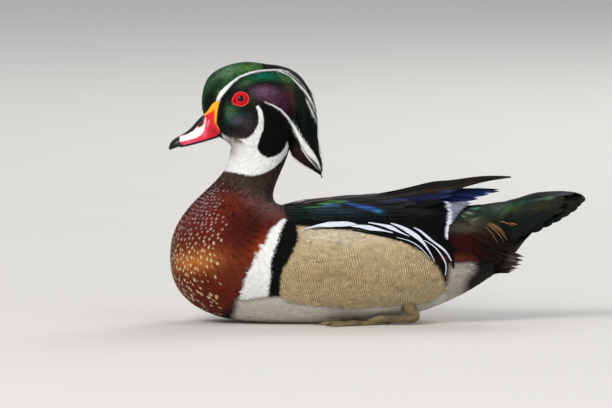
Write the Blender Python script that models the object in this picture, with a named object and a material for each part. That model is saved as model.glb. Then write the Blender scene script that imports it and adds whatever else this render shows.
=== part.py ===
"""A drake wood duck afloat, at life size, as a still museum model that rests on its belly.

The bird faces -X. Its left side is -Y, +Z is up, and the floor is Z = 0.
Lengths below are in millimetres, and MM turns them into metres when a mesh is made.
"""

import math

import bmesh
import bpy
import numpy as np
from mathutils import Vector
from mathutils.bvhtree import BVHTree

MM = 0.001
GAP = 0.3  # between neighbouring nodes
SHARP_ANGLE = 35.0  # in degrees: an edge between faces that turn by more is drawn sharp
FAR = 120.0  # reaches past the bird in any direction from its middle plane

# The body is lofted between a back line and a belly line. Each row is
# (station, x, z): equal stations on the two lines share one cross-section.
BACK_LINE = (
    (0.0, -145.0, 174.6),
    (1.0, -145.8, 186.7),
    (2.0, -141.7, 201.7),
    (3.0, -130.8, 211.3),
    (4.0, -114.2, 216.4),
    (5.2, -95.8, 215.6),
    (6.5, -78.3, 209.6),
    (7.5, -70.8, 197.5),
    (9.0, -68.8, 172.5),
    (10.5, -72.9, 145.0),
    (12.0, -81.3, 123.3),
    (13.3, -86.3, 110.0),
    (14.5, -86.3, 101.7),
    (15.6, -81.7, 97.5),
    (17.0, -72.5, 97.1),
    (19.0, -49.2, 100.4),
    (21.0, -7.5, 102.9),
    (23.0, 40.0, 101.7),
    (25.0, 74.2, 95.4),
    (27.0, 104.2, 97.5),
    (29.0, 131.7, 101.3),
)
BELLY_LINE = (
    (0.0, -130.8, 153.8),
    (2.0, -125.8, 150.8),
    (4.0, -122.1, 147.5),
    (7.0, -122.1, 142.5),
    (9.0, -122.9, 137.5),
    (10.5, -125.4, 129.2),
    (12.0, -136.7, 115.0),
    (13.0, -149.4, 102.9),
    (14.0, -160.5, 90.0),
    (15.0, -168.3, 76.2),
    (16.5, -171.9, 55.0),
    (18.0, -167.5, 31.7),
    (19.5, -147.5, 11.7),
    (21.0, -107.5, 0.8),
    (22.5, -43.3, -1.2),
    (24.0, 19.2, 5.0),
    (26.0, 81.7, 30.0),
    (27.5, 109.2, 51.7),
    (29.0, 129.2, 77.5),
)
# (station, half of the body's width, how much its lower half is the fuller)
GIRTH = (
    (0.0, 8.8, 0.00),
    (1.0, 12.6, 0.08),
    (2.0, 16.2, 0.14),
    (3.0, 18.6, 0.18),
    (5.0, 20.8, 0.18),
    (7.0, 21.2, 0.12),
    (9.0, 20.4, 0.06),
    (10.5, 20.0, 0.00),
    (12.0, 22.5, 0.00),
    (13.0, 26.5, 0.00),
    (14.0, 32.5, 0.00),
    (15.0, 39.0, 0.00),
    (16.0, 45.5, 0.00),
    (17.5, 53.5, 0.00),
    (19.0, 59.0, 0.00),
    (21.0, 62.5, 0.00),
    (22.0, 62.0, 0.00),
    (23.0, 58.5, 0.00),
    (24.0, 51.5, -0.04),
    (25.0, 43.0, -0.08),
    (26.0, 34.5, -0.10),
    (27.0, 26.5, -0.10),
    (28.0, 19.0, -0.06),
    (29.0, 12.0, 0.00),
)
LAST_STATION = 29.0
HEAD_ENDS = 10.2
NECK_ENDS = 14.2
RING_CORNERS = 28
SQUARENESS = 0.92  # under 1 fills a section out towards a rectangle

EYE_X, EYE_Z = -113.3, 186.7
EYE_RADIUS = 6.2
EYE_SUNK = 3.6  # from the head's surface in to the eyeball's middle
LID_THICKNESS = 1.1

MANTLE_HALF_WIDTH = 11.0
WING_DEPTH = 5.0
BED_RINGS = 20

# The bill: (share from base to tip, x, z)
CULMEN = (
    (0.0, -145.6, 174.2),
    (0.2, -150.2, 168.0),
    (0.4, -156.0, 160.8),
    (0.6, -162.2, 156.0),
    (0.8, -168.4, 152.6),
    (0.93, -172.0, 149.2),
    (1.0, -173.2, 146.0),
)
UPPER_EDGE = (
    (0.0, -132.6, 156.4),
    (0.3, -141.5, 152.9),
    (0.6, -154.0, 149.6),
    (0.85, -166.0, 146.2),
    (1.0, -172.4, 144.0),
)
LOWER_EDGE = (
    (0.0, -133.2, 155.0),
    (0.3, -141.5, 152.0),
    (0.6, -153.0, 148.8),
    (0.85, -162.6, 146.0),
    (1.0, -167.0, 144.6),
)
GONYS = (
    (0.0, -131.8, 153.2),
    (0.3, -140.6, 150.9),
    (0.6, -152.2, 147.5),
    (0.85, -161.6, 145.0),
    (1.0, -166.4, 144.0),
)
BILL_HALF_WIDTH = ((0.0, 8.6), (0.25, 7.8), (0.5, 7.1), (0.75, 6.8), (0.88, 5.9), (0.96, 3.9), (1.0, 1.6))
LOWER_HALF_WIDTH = ((0.0, 6.4), (0.5, 6.2), (0.8, 5.4), (0.93, 3.6), (1.0, 1.4))
NOSTRIL = np.array([-148.6, 0.0, 166.6])
LOBE_THICKNESS = 0.9
LOBE_GAP = 0.55  # wider than GAP, because both faces are faceted
# (angle down the head's front in degrees, station that the lobe reaches)
LOBE_EDGE = (
    (22.0, 0.15),
    (42.0, 1.0),
    (60.0, 1.9),
    (76.0, 2.4),
    (86.0, 2.0),
    (96.0, 1.3),
    (108.0, 1.0),
    (118.0, 1.0),
    (126.0, 0.4),
)

# A folded wing's outline from the side (x, z), from its shoulder round by its lower edge
WING_OUTLINE = (
    (-77.0, 90.0),
    (-75.0, 85.5),
    (-64.0, 81.5),
    (-44.0, 83.3),
    (-22.0, 84.2),
    (2.0, 83.0),
    (20.0, 80.0),
    (36.0, 78.0),
    (50.0, 72.5),
    (59.0, 67.0),
    (61.5, 80.0),
    (60.5, 100.0),
    (60.0, 140.0),
    (-77.0, 140.0),
)

# The crest in the side view: (share from crown to tip, x, z)
CREST_OUTER = (
    (0.0, -95.8, 215.4),
    (0.15, -80.8, 213.4),
    (0.3, -65.8, 206.4),
    (0.42, -56.7, 194.0),
    (0.55, -51.2, 177.0),
    (0.7, -50.0, 158.0),
    (0.85, -47.6, 139.0),
    (0.95, -46.2, 128.0),
    (1.0, -46.4, 123.2),
)
CREST_INNER = (
    (0.0, -95.8, 206.0),
    (0.15, -86.0, 201.0),
    (0.3, -79.0, 190.0),
    (0.42, -76.0, 178.0),
    (0.55, -74.0, 160.0),
    (0.7, -72.0, 141.5),
    (0.8, -66.0, 135.0),
    (0.92, -54.0, 127.4),
    (1.0, -47.4, 122.8),
)
CREST_HALF_WIDTH = ((0.0, 5.0), (0.12, 8.5), (0.26, 12.0), (0.45, 12.0), (0.7, 9.5), (0.88, 6.0), (1.0, 2.2))

# Outlines of vanes: (share of length, share of half width)
POINTED = ((0.0, 0.55), (0.3, 0.95), (0.6, 0.92), (0.86, 0.5), (1.0, 0.07))
ROUNDED = ((0.0, 0.5), (0.35, 0.92), (0.7, 1.0), (0.9, 0.78), (1.0, 0.3))
BLUNT = ((0.0, 0.6), (0.4, 0.95), (0.8, 1.0), (0.95, 0.9), (1.0, 0.6))
SHORT = ((0.0, 0.6), (0.45, 1.0), (0.82, 0.85), (1.0, 0.3))

# Rows of feathers on a folded wing, hindmost first. Each is (count, first root, last root,
# first tip, last tip, half width, outline, lift of the tips), with places as (x, z).
WING_ROWS = (
    (5, (24, 96), (30, 80.5), (57.5, 98.5), (58.0, 75.5), 4.0, BLUNT, 2.7),
    (4, (0, 99), (2, 83.5), (36, 100), (33, 82.5), 4.9, SHORT, 3.2),
    (4, (-30, 99), (-28, 86), (8, 101), (4, 86.5), 4.7, SHORT, 3.2),
    (3, (-55, 97), (-53, 86), (-21, 99.5), (-22, 87.5), 5.2, SHORT, 3.0),
    (3, (-70, 94), (-69, 88), (-45, 98), (-46, 86.5), 4.8, SHORT, 2.6),
)
# Primaries: (root, tip (x, y, z), half width)
PRIMARIES = (
    ((30, 92.5), (100.8, 13.0, 108.9), 5.2),
    ((31, 89.5), (90.0, 18.0, 105.4), 4.6),
    ((32, 86.5), (79.5, 23.0, 99.5), 4.4),
    ((33, 83), (69.0, 29.5, 90.5), 4.2),
)
# Tertials: (root (x, y), middle (x, y, z), tip (x, y, z), half width)
TERTIALS = (
    ((-14, 18), (48, 9.5, 113.0), (111.5, 5.0, 120.6), 7.6),
    ((-6, 23), (45, 15.5, 109.2), (92.0, 10.5, 117.0), 6.8),
    ((2, 28), (42, 21.5, 104.4), (78.0, 17.0, 109.5), 6.2),
)
# Scapulars over the mantle: (root (x, y), tip (x, y), half width, lift of the tip)
SCAPULARS = (
    ((-66, 18), (-34, 7.0), 6.2, 3.6),
    ((-50, 19), (-8, 7.0), 6.4, 4.2),
    ((-30, 20), (22, 7.5), 6.6, 5.2),
)
VANE_THICKNESS = 0.8
ROOT_SUNK = 2.0

# Flank feathers under the wing's lower edge: (root, tip, half width), as (x, z)
FLANK = (
    ((-74, 76.5), (-26, 80.0), 4.0),
    ((-44, 76.5), (4, 77.6), 4.0),
    ((-18, 75.5), (26, 71.2), 4.2),
    ((4, 73.5), (42, 57.0), 4.2),
    ((22, 71.5), (59, 53.5), 4.2),
    ((40, 66.5), (63, 59.0), 3.0),
)

# Tail feathers of one side, inner first: (root (y, z) at the tail's root, tip (x, y, z))
TAIL_ROOT_X = 114.0
RECTRICES = (
    ((1.8, 95.0), (173.4, 4.2, 102.2)),
    ((2.8, 92.6), (170.2, 9.4, 99.6)),
    ((3.8, 90.1), (166.8, 14.8, 96.4)),
    ((4.8, 87.5), (161.2, 19.8, 93.2)),
    ((5.8, 84.8), (154.8, 24.6, 90.0)),
    ((6.8, 82.0), (147.4, 28.8, 86.8)),
    ((7.6, 79.0), (139.6, 32.2, 83.6)),
)
RECTRIX_HALF_WIDTH = 7.2
RECTRIX = ((0.0, 0.36), (0.35, 0.85), (0.7, 1.0), (0.91, 0.8), (1.0, 0.3))
RECTRIX_BOW = (4.8, 0.8)  # of the inmost, and how much less each next one has
# Tail coverts of one side: (root (x, y, z), tip (x, y, z), half width)
UPPER_COVERTS = (
    ((106, 4.0, 96.0), (161, 3.8, 107.8), 5.2),
    ((101, 9.0, 92.0), (140, 11.0, 102.4), 5.2),
    ((100, 12.5, 87.0), (127, 18.0, 95.0), 5.0),
    ((95, 5.5, 93.5), (124, 6.0, 103.2), 5.2),
)
UNDER_COVERTS = (
    ((106, 3.6, 64.0), (136, 5.0, 80.5), 4.8),
    ((103, 8.6, 61.5), (127, 12.5, 73.5), 4.6),
    ((100, 12.0, 58.0), (117, 18.0, 65.5), 4.4),
)
# Loose plumes at the side of the rump
SIDE_PLUMES = (
    ((92, 13, 79.0), (108, 20.5, 67.0), 1.9),
    ((94, 12, 58.0), (121, 18.0, 53.5), 2.2),
    ((90, 11, 50.0), (116, 15.0, 46.5), 2.4),
    ((88, 6, 43.0), (110, 8.0, 41.0), 2.4),
)

# The crest's vanes in layers: (angles round its section in degrees, share where the roots
# lie, share where the tips lie). Each layer lies LAYER_STEP further in, and comes out to the
# crest's own surface past the tips of the layers over it.
CREST_LAYERS = (
    ((0, 40, -40, 80, -80, 120, -120), 0.06, 0.60),
    ((0, 44, -44, 88, -88, 132, -132), 0.24, 0.82),
    ((0, 52, -52, 100, -100, 150, -150), 0.40, 1.00),
)
LAYER_STEP = 0.2
PLUME_STATIONS = (0.0, 0.24, 0.5, 0.78, 1.0)
PLUME_WIDTHS = (0.6, 0.98, 1.0, 0.7, 0.12)
PLUME_OVERLAP = 0.5  # of a plume's half width to the room it has round the section
CREST_CORE = 0.5
CREST_CORE_ENDS = 0.46

# The station where the torso ends and the tail begins
TAIL_START = 26.2

# A leg: the shank comes out of the belly and the foot lies flat, toes forward
LEG_JOINTS = ((16.0, 30.0, 24.0), (31.0, 33.0, 7.0), (-2.0, 37.0, 4.2))
LEG_RADII = (6.5, 4.4, 3.2)
TOES = (
    # (angle outward in degrees, length, radius at its root)
    (-24.0, 38.0, 2.0),
    (2.0, 50.0, 2.2),
    (27.0, 46.0, 2.0),
)
HIND_TOE = (152.0, 11.0, 1.3)
WEB_THICKNESS = 1.2

WING_LOW_EDGE = slice(1, 10)


def cubic(knots, values, at):
    """Natural cubic spline through values at knots, read at the places in at."""
    knots, values, at = (np.asarray(a, float) for a in (knots, values, at))
    step = np.diff(knots)
    slope = np.diff(values) / step
    count = len(knots)
    matrix, right = np.eye(count), np.zeros(count)
    for i in range(1, count - 1):
        matrix[i, i - 1 : i + 2] = step[i - 1], 2 * (step[i - 1] + step[i]), step[i]
        right[i] = 6 * (slope[i] - slope[i - 1])
    bend = np.linalg.solve(matrix, right)
    i = np.clip(np.searchsorted(knots, at) - 1, 0, count - 2)
    a, b = knots[i + 1] - at, at - knots[i]
    return (
        (bend[i] * a**3 + bend[i + 1] * b**3) / (6 * step[i])
        + (values[i] / step[i] - bend[i] * step[i] / 6) * a
        + (values[i + 1] / step[i] - bend[i + 1] * step[i] / 6) * b
    )


def along(rows, station, column):
    """One column of a table of stations, as a smooth function of the station."""
    rows = np.array(rows)
    return cubic(rows[:, 0], rows[:, column], station)


def swelling(x, z, at_x, at_z, radius):
    """A smooth hill of height 1 in the side view, about a point."""
    return np.exp(-((x - at_x) ** 2 + (z - at_z) ** 2) / radius**2)


def body_surface(station, angle, inset=0.0):
    """Points of the body's surface: angle 0 is the back, pi the belly, and -Y comes first.

    A section is a superellipse in the plane through its back point and its belly point.
    """
    station, angle = np.broadcast_arrays(np.asarray(station, float), np.asarray(angle, float))
    back = np.stack([along(BACK_LINE, station, 1), along(BACK_LINE, station, 2)], -1)
    belly = np.stack([along(BELLY_LINE, station, 1), along(BELLY_LINE, station, 2)], -1)
    half = (back - belly) / 2
    height = np.linalg.norm(half, axis=-1)
    up = half / height[..., None]
    width = along(GIRTH, station, 1) - inset
    fullness = along(GIRTH, station, 2)
    across = np.sign(np.sin(angle)) * np.abs(np.sin(angle)) ** SQUARENESS
    side = across * width * (1 - fullness * np.cos(angle))
    middle = (back + belly) / 2 + up * ((height - inset) * np.cos(angle))[..., None]
    x, z = middle[..., 0], np.maximum(middle[..., 1], 0.0)
    cheek = 1.6 * swelling(x, z, -110.0, 166.0, 13.0)
    hollow = 1.3 * swelling(x, z, EYE_X, EYE_Z, 10.0)
    lore = 1.4 * swelling(x, z, -130.0, 180.0, 9.0)
    side = side + np.sign(side) * (cheek - hollow - lore) * np.abs(across)
    return np.stack([x, -side, z], -1)


def material(name, colour, roughness=0.7, metallic=0.0):
    made = bpy.data.materials.new(name)
    made.use_nodes = True
    shader = made.node_tree.nodes["Principled BSDF"]
    shader.inputs["Base Color"].default_value = (*colour, 1.0)
    shader.inputs["Roughness"].default_value = roughness
    shader.inputs["Metallic"].default_value = metallic
    made.diffuse_color = (*colour, 1.0)
    return made


def solid(name, points, faces, finish=None):
    """An object from points in millimetres."""
    mesh = bpy.data.meshes.new(name)
    mesh.from_pydata((np.asarray(points, float) * MM).tolist(), [], faces)
    if finish:
        mesh.materials.append(finish)
    made = bpy.data.objects.new(name, mesh)
    bpy.context.scene.collection.objects.link(made)
    return made


def tube(rings):
    """Points and faces of a closed body through rings of equal count, with flat ends."""
    count, corners = rings.shape[:2]
    points = np.concatenate([rings.reshape(-1, 3), rings[[0, -1]].mean(axis=1)])
    first, last = count * corners, count * corners + 1
    faces = []
    for i in range(count - 1):
        for j in range(corners):
            k = (j + 1) % corners
            a, b = i * corners, (i + 1) * corners
            faces.append((a + j, a + k, b + k, b + j))
    for j in range(corners):
        k = (j + 1) % corners
        faces.append((first, k, j))
        faces.append((last, (count - 1) * corners + j, (count - 1) * corners + k))
    return points, faces


def body_length(name, start, end, rings, inset=0.0, finish=None, shave=0.0):
    """A length of the body as one closed solid. Shave draws its first face back."""
    station = np.linspace(start, end, rings)[:, None]
    angle = np.linspace(0, 2 * math.pi, RING_CORNERS, endpoint=False)[None, :]
    points = body_surface(station, angle, inset)
    if shave:
        a, b, c = points[0][[0, RING_CORNERS // 4, RING_CORNERS // 2]]
        normal = np.cross(b - a, c - a)
        normal /= np.linalg.norm(normal)
        normal *= np.sign(normal @ (points[1].mean(axis=0) - points[0].mean(axis=0)))
        points[0] += normal * shave
    made, faces = tube(points)
    return solid(name, made, faces, finish)


def prism(name, outline, low_y, high_y):
    """A closed outline in the XZ plane, drawn out along Y."""
    rings = np.array([[(x, y, z) for x, z in outline] for y in (low_y, high_y)], float)
    points, faces = tube(rings)
    made = solid(name, points, faces)
    face_out(made)
    return made


def face_out(obj):
    """Turns a closed mesh right way out, by the sign of its volume."""
    mesh = obj.data
    mesh.calc_loop_triangles()
    points = np.array([v.co for v in mesh.vertices])
    corners = points[np.array([t.vertices for t in mesh.loop_triangles])]
    if np.linalg.det(corners).sum() < 0:
        mesh.flip_normals()


def boolean(obj, others, operation, solver="EXACT"):
    """Joins or cuts obj with other objects, which are then removed."""
    group = bpy.data.collections.new("operands")
    bpy.context.scene.collection.children.link(group)
    for other in others:
        group.objects.link(other)
    modifier = obj.modifiers.new(operation, "BOOLEAN")
    modifier.operation = operation
    modifier.solver = solver
    modifier.operand_type = "COLLECTION"
    modifier.collection = group
    apply_modifiers(obj)
    for other in others:
        bpy.data.objects.remove(other)
    bpy.data.collections.remove(group)


def apply_modifiers(obj):
    graph = bpy.context.evaluated_depsgraph_get()
    made = bpy.data.meshes.new_from_object(obj.evaluated_get(graph))
    obj.modifiers.clear()
    obj.data = made


def shade(obj):
    """Smooth over the round faces, with the vanes' edges left sharp."""
    obj.data.shade_smooth()
    obj.data.set_sharp_from_angle(angle=math.radians(SHARP_ANGLE))


def ray_tree(obj):
    """A search tree of an object's mesh, in millimetres."""
    points = [v.co / MM for v in obj.data.vertices]
    return BVHTree.FromPolygons(points, [tuple(p.vertices) for p in obj.data.polygons])


def on_side(tree, x, z, side, lift=0.0):
    """The body's surface met from the side at (x, z), raised along its normal, and that normal."""
    hit, normal, _, _ = tree.ray_cast(Vector((x, side * FAR, z)), Vector((0, -side, 0)))
    if hit is None:
        hit, normal, _, _ = tree.ray_cast(Vector((x, side * 0.5, 2 * FAR)), Vector((0, 0, -1)))
    normal = normal if normal.dot(Vector((0, side, 1))) > 0 else -normal
    return np.array(hit + normal * lift), np.array(normal)


def on_top(tree, x, y, lift=0.0):
    """The body's surface met from above at (x, y), raised along its normal, and that normal."""
    hit, normal, _, _ = tree.ray_cast(Vector((x, y, 2 * FAR)), Vector((0, 0, -1)))
    normal = normal if normal.z > 0 else -normal
    return np.array(hit + normal * lift), np.array(normal)


def smooth_path(points, share):
    """Points of a cubic curve through the given ones, at shares of its length."""
    points = np.asarray(points, float)
    run = np.r_[0, np.cumsum(np.linalg.norm(np.diff(points, axis=0), axis=1))]
    return np.stack([cubic(run, points[:, k], share * run[-1]) for k in range(3)], -1)


def unit(vectors):
    return vectors / np.linalg.norm(vectors, axis=-1, keepdims=True)


def vane(path, ups, half_width, thickness, outline, columns=2, camber=0.12, roll=0.0):
    """Points and faces of a closed blade along a path.

    Camber drops the edges, as a share of the half width. Roll turns the blade about its
    length, in radians. Both faces are split into triangles alike.
    """
    share, wide = np.array(outline).T
    wide = wide * half_width
    centre = smooth_path(path, share)
    ahead = unit(np.gradient(centre, axis=0))
    ups = np.atleast_2d(np.asarray(ups, float))
    places = np.linspace(0, 1, len(ups))
    up = np.stack([np.interp(share, places, ups[:, k]) for k in range(3)], -1)
    across = unit(np.cross(ahead, up))
    up = unit(np.cross(across, ahead))
    across, up = (
        across * math.cos(roll) + up * math.sin(roll),
        up * math.cos(roll) - across * math.sin(roll),
    )
    spread = np.linspace(-1, 1, columns + 1)
    drop = -camber * wide[:, None] * spread**2
    middle = (
        centre[:, None]
        + across[:, None] * (wide[:, None] * spread)[..., None]
        + up[:, None] * drop[..., None]
    )
    half = np.repeat(up[:, None], columns + 1, axis=1) * thickness / 2
    return plate(middle + half, middle - half)


def plate(top, low):
    """Points and faces of a closed sheet between two grids, both split alike."""
    rows, columns = top.shape[:2]
    under = rows * columns
    points = np.concatenate([top.reshape(-1, 3), low.reshape(-1, 3)])
    faces = []
    for i in range(rows - 1):
        for j in range(columns - 1):
            a, b = i * columns + j, (i + 1) * columns + j
            faces += [(a, a + 1, b + 1), (a, b + 1, b)]
            faces += [(under + b + 1, under + a + 1, under + a), (under + b, under + b + 1, under + a)]
    rim = list(range(columns))
    rim += [i * columns + columns - 1 for i in range(1, rows)]
    rim += [(rows - 1) * columns + j for j in range(columns - 2, -1, -1)]
    rim += [i * columns for i in range(rows - 2, 0, -1)]
    for a, b in zip(rim, rim[1:] + rim[:1]):
        faces.append((b, a, under + a, under + b))
    return points, faces


def blade(path, ups, half_width, outline, thickness=VANE_THICKNESS, **options):
    """A vane as an object that waits to be joined to its node."""
    made = solid("blade", *vane(path, ups, half_width, thickness, outline, **options))
    face_out(made)
    return made


def between(first, last, share):
    return np.asarray(first, float) * (1 - share) + np.asarray(last, float) * share


def ball(name, centre, radius, segments=16, rings=8, finish=None):
    """A closed sphere with its poles along Y."""
    turn = np.linspace(0, 2 * math.pi, segments, endpoint=False)[None, :]
    tilt = np.linspace(0, math.pi, rings + 1)[1:-1, None]
    shell = np.stack(
        [
            np.sin(tilt) * np.cos(turn),
            np.broadcast_to(np.cos(tilt), (rings - 1, segments)),
            np.sin(tilt) * np.sin(turn),
        ],
        -1,
    )
    points, faces = tube(shell * radius + np.asarray(centre))
    points[-2:] = np.asarray(centre) + [[0, radius, 0], [0, -radius, 0]]
    made = solid(name, points, faces, finish)
    face_out(made)
    return made


def keep_largest(obj):
    """Drops every closed surface of a node but its largest."""
    shape = bmesh.new()
    shape.from_mesh(obj.data)
    left, pieces = set(shape.verts), []
    while left:
        stack, piece = [left.pop()], set()
        while stack:
            vertex = stack.pop()
            piece.add(vertex)
            near = {edge.other_vert(vertex) for edge in vertex.link_edges} & left
            left -= near
            stack.extend(near)
        pieces.append(piece)
    largest = max(pieces, key=len)
    bmesh.ops.delete(shape, geom=[v for v in shape.verts if v not in largest], context="VERTS")
    shape.to_mesh(obj.data)
    shape.free()


def head():
    """The head with its cheeks, sockets and lids."""
    made = body_length("head", 0.0, HEAD_ENDS, 22, finish=FINISH["head"])
    face_out(made)
    tree = ray_tree(made)
    lids, sockets = [], []
    for side in (-1, 1):
        hit, _, _, _ = tree.ray_cast(Vector((EYE_X, side * FAR, EYE_Z)), Vector((0, -side, 0)))
        middle = (EYE_X, hit.y - side * EYE_SUNK, EYE_Z)
        EYE_MIDDLE[side] = middle
        lids.append(lid_ring(side, hit.y))
        sockets.append(ball("socket", middle, EYE_RADIUS + GAP, 18, 9))
    nape = body_length("nape", HEAD_ENDS, NECK_ENDS, 9, inset=-GAP, shave=0.02)
    face_out(nape)
    boolean(made, lids + crest(), "UNION")
    boolean(made, sockets + [nape], "DIFFERENCE")
    keep_largest(made)
    return made


def lid_ring(side, surface_y):
    """The bare ring of skin round an eye, drawn to a point at its front corner."""
    turn = np.linspace(0, 2 * math.pi, 18, endpoint=False)
    corner = np.exp(-(((turn - math.radians(205) + math.pi) % (2 * math.pi) - math.pi) ** 2) / 0.16)
    reach_x = 6.1 + 1.9 * corner
    reach_z = 5.4 + 1.0 * corner
    centre = np.stack(
        [
            EYE_X + reach_x * np.cos(turn),
            surface_y + side * (0.1 + 0.25 * np.cos(turn)) * np.ones_like(turn),
            EYE_Z + reach_z * np.sin(turn),
        ],
        -1,
    )
    out = unit(centre - [EYE_X, surface_y, EYE_Z])
    around_tube = np.linspace(0, 2 * math.pi, 5, endpoint=False)[None, :, None]
    rings = centre[:, None] + LID_THICKNESS * (
        out[:, None] * np.cos(around_tube) + np.array([0.0, 1.0, 0.0]) * np.sin(around_tube)
    )
    count, corners = rings.shape[:2]
    faces = []
    for i in range(count):
        for j in range(corners):
            k, n = (j + 1) % corners, (i + 1) % count
            faces.append((i * corners + j, i * corners + k, n * corners + k, n * corners + j))
    made = solid("lid", rings.reshape(-1, 3), faces)
    face_out(made)
    return made


def bill_sections(upper_line, lower_line, width_rows, count, corners, flat_side):
    """Rings of half a bill: one side of each section is round and the other nearly flat."""
    share = 1 - (1 - np.linspace(0, 1, count)) ** 1.35
    top = np.stack([along(upper_line, share, 1), along(upper_line, share, 2)], -1)
    low = np.stack([along(lower_line, share, 1), along(lower_line, share, 2)], -1)
    width = np.interp(share, *np.array(width_rows).T)
    turn = np.linspace(-math.pi / 2, math.pi / 2, corners)
    rise = np.cos(turn) ** 0.75
    rings = []
    for a, b, w in zip(top, low, width):
        base, peak = (b, a) if flat_side == "low" else (a, b)
        arc = base + (peak - base) * rise[:, None]
        arch = np.stack([arc[:, 0], w * np.sin(turn), arc[:, 1]], -1)
        inner = np.linspace(0.62, -0.62, 3)
        floor = base + (peak - base) * 0.12
        flat = np.stack([np.full(3, floor[0]), w * inner, np.full(3, floor[1])], -1)
        rings.append(np.concatenate([arch, flat]))
    return np.array(rings)


def bill_upper():
    rings = bill_sections(CULMEN, UPPER_EDGE, BILL_HALF_WIDTH, 14, 11, "low")
    made = solid("bill_upper", *tube(rings), FINISH["bill"])
    face_out(made)
    lobes = [bill_lobe(side) for side in (-1, 1)]
    boolean(made, lobes, "UNION")
    nostrils = [nostril(side) for side in (-1, 1)]
    boolean(made, nostrils, "DIFFERENCE")
    keep_largest(made)


def bill_lobe(side):
    """The bare lobe at the side of the bill's base: a thin patch laid over the head's front."""
    angle = np.radians(np.linspace(LOBE_EDGE[0][0], LOBE_EDGE[-1][0], 10))
    reach = np.interp(np.degrees(angle), *np.array(LOBE_EDGE).T)
    share = np.linspace(0, 1, 4)
    station = -0.18 + share[None, :] * (reach[:, None] + 0.18)
    at = np.maximum(station, 0.0)
    skin = body_surface(at, angle[:, None])
    ahead = np.array([-0.83, 0.0, -0.56])
    skin = skin + ahead * (np.minimum(station, 0) * -12.0)[..., None]
    step = 1e-3
    along_s = body_surface(at + step, angle[:, None]) - body_surface(at, angle[:, None])
    along_a = body_surface(at, angle[:, None] + step) - body_surface(at, angle[:, None])
    normal = unit(np.cross(along_s, along_a))
    normal *= np.sign((normal * (skin - [EYE_X, 0, 165.0])).sum(-1))[..., None]
    points, faces = plate(skin + normal * (LOBE_GAP + LOBE_THICKNESS), skin + normal * LOBE_GAP)
    points[:, 1] *= -side
    made = solid("lobe", points, faces)
    face_out(made)
    return made


def nostril(side):
    turn = np.linspace(0, 2 * math.pi, 12, endpoint=False)
    ahead, up = np.array([-0.8, 0.0, -0.6]), np.array([-0.6, 0.0, 0.8])
    shape = 2.6 * np.cos(turn)[:, None] * ahead + 1.3 * np.sin(turn)[:, None] * up
    rings = np.array([NOSTRIL + shape + [0, side * y, 0] for y in (3.4, 14.0)])
    made = solid("nostril", *tube(rings))
    face_out(made)
    return made


def bill_lower():
    rings = bill_sections(LOWER_EDGE, GONYS, LOWER_HALF_WIDTH, 11, 9, "high")
    made = solid("bill_lower", *tube(rings), FINISH["dark"])
    face_out(made)


def eye(side):
    made = ball("eye_left" if side < 0 else "eye_right", EYE_MIDDLE[side], EYE_RADIUS, finish=FINISH["eye"])
    return made


def widened(outline, by):
    """A closed outline with each side moved out by a distance."""
    outline = np.array(outline)
    ahead = unit(np.roll(outline, -1, axis=0) - outline)
    out = np.stack([-ahead[:, 1], ahead[:, 0]], -1)
    area = np.sum(outline[:, 0] * np.roll(outline[:, 1], -1) - np.roll(outline[:, 0], -1) * outline[:, 1])
    out *= -np.sign(area)
    before = np.roll(out, 1, axis=0)
    return outline + by * (out + before) / (1 + (out * before).sum(axis=1))[:, None]


def wing_prism(name, side, spread):
    """The side outline of a folded wing, drawn out from the edge of the mantle."""
    near, far = (MANTLE_HALF_WIDTH - spread) * side, FAR * side
    return prism(name, widened(WING_OUTLINE, spread), min(near, far), max(near, far))


def wing_bed(side, depth, spread):
    """The space that a wing takes out of the torso's side."""
    made = wing_prism("bed", side, spread)
    core = body_length("core", 14.6, LAST_STATION, BED_RINGS, inset=depth)
    face_out(core)
    boolean(made, [core], "DIFFERENCE")
    return made


def laid(tree, side, root, tip, half_width, outline, tip_lift, draw, roll=0.1, columns=2):
    """A feather on the body between two places (x, z) of the side view, its root sunk in."""
    share = np.array([0.0, 0.3, 0.65, 1.0])
    lift = np.interp(share, [0.0, 0.35, 1.0], [-ROOT_SUNK, 0.35 * tip_lift, tip_lift])
    places = [between(root, tip, s) for s in share]
    found = [on_side(tree, x, z, side, up) for (x, z), up in zip(places, lift)]
    path, ups = zip(*found)
    scale = draw.uniform(0.94, 1.06)
    return blade(path, ups, half_width * scale, outline, roll=roll * side, columns=columns)


def wing_feathers(tree, side):
    draw = np.random.default_rng(20 + side)
    pieces = []
    for count, root_1, root_2, tip_1, tip_2, half_width, outline, lift in WING_ROWS:
        for share in np.linspace(0, 1, count):
            root, tip = between(root_1, root_2, share), between(tip_1, tip_2, share)
            tip = tip + draw.uniform(-0.7, 0.7, 2) * [1.0, 0.3]
            pieces.append(laid(tree, side, root, tip, half_width, outline, lift, draw, columns=1))
    for order, (root, tip, half_width) in enumerate(PRIMARIES):
        start, up = on_side(tree, *root, side, -ROOT_SUNK)
        middle, _ = on_side(tree, 56, between(root, (tip[0], tip[2]), 0.35)[1], side, 1.0 - 0.1 * order)
        end = np.array(tip) * [1, side, 1]
        pieces.append(blade([start, middle, end], [up, [0, 0.75 * side, 0.65]], half_width, POINTED, columns=1))
    for root, middle, tip, half_width in TERTIALS:
        start, up = on_top(tree, root[0], root[1] * side, -ROOT_SUNK)
        path = [start, np.array(middle) * [1, side, 1], np.array(tip) * [1, side, 1]]
        pieces.append(blade(path, [up, [0, 0.55 * side, 0.85]], half_width, POINTED))
    for root, tip, half_width, lift in SCAPULARS:
        start, up = on_top(tree, root[0], root[1] * side, -ROOT_SUNK)
        middle, _ = on_top(tree, *(between(root, tip, 0.4) * [1, side]), 0.55 * lift)
        end, last = on_top(tree, tip[0], tip[1] * side, lift)
        pieces.append(blade([start, middle, end], [up, last], half_width, ROUNDED, columns=1))
    return pieces


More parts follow.
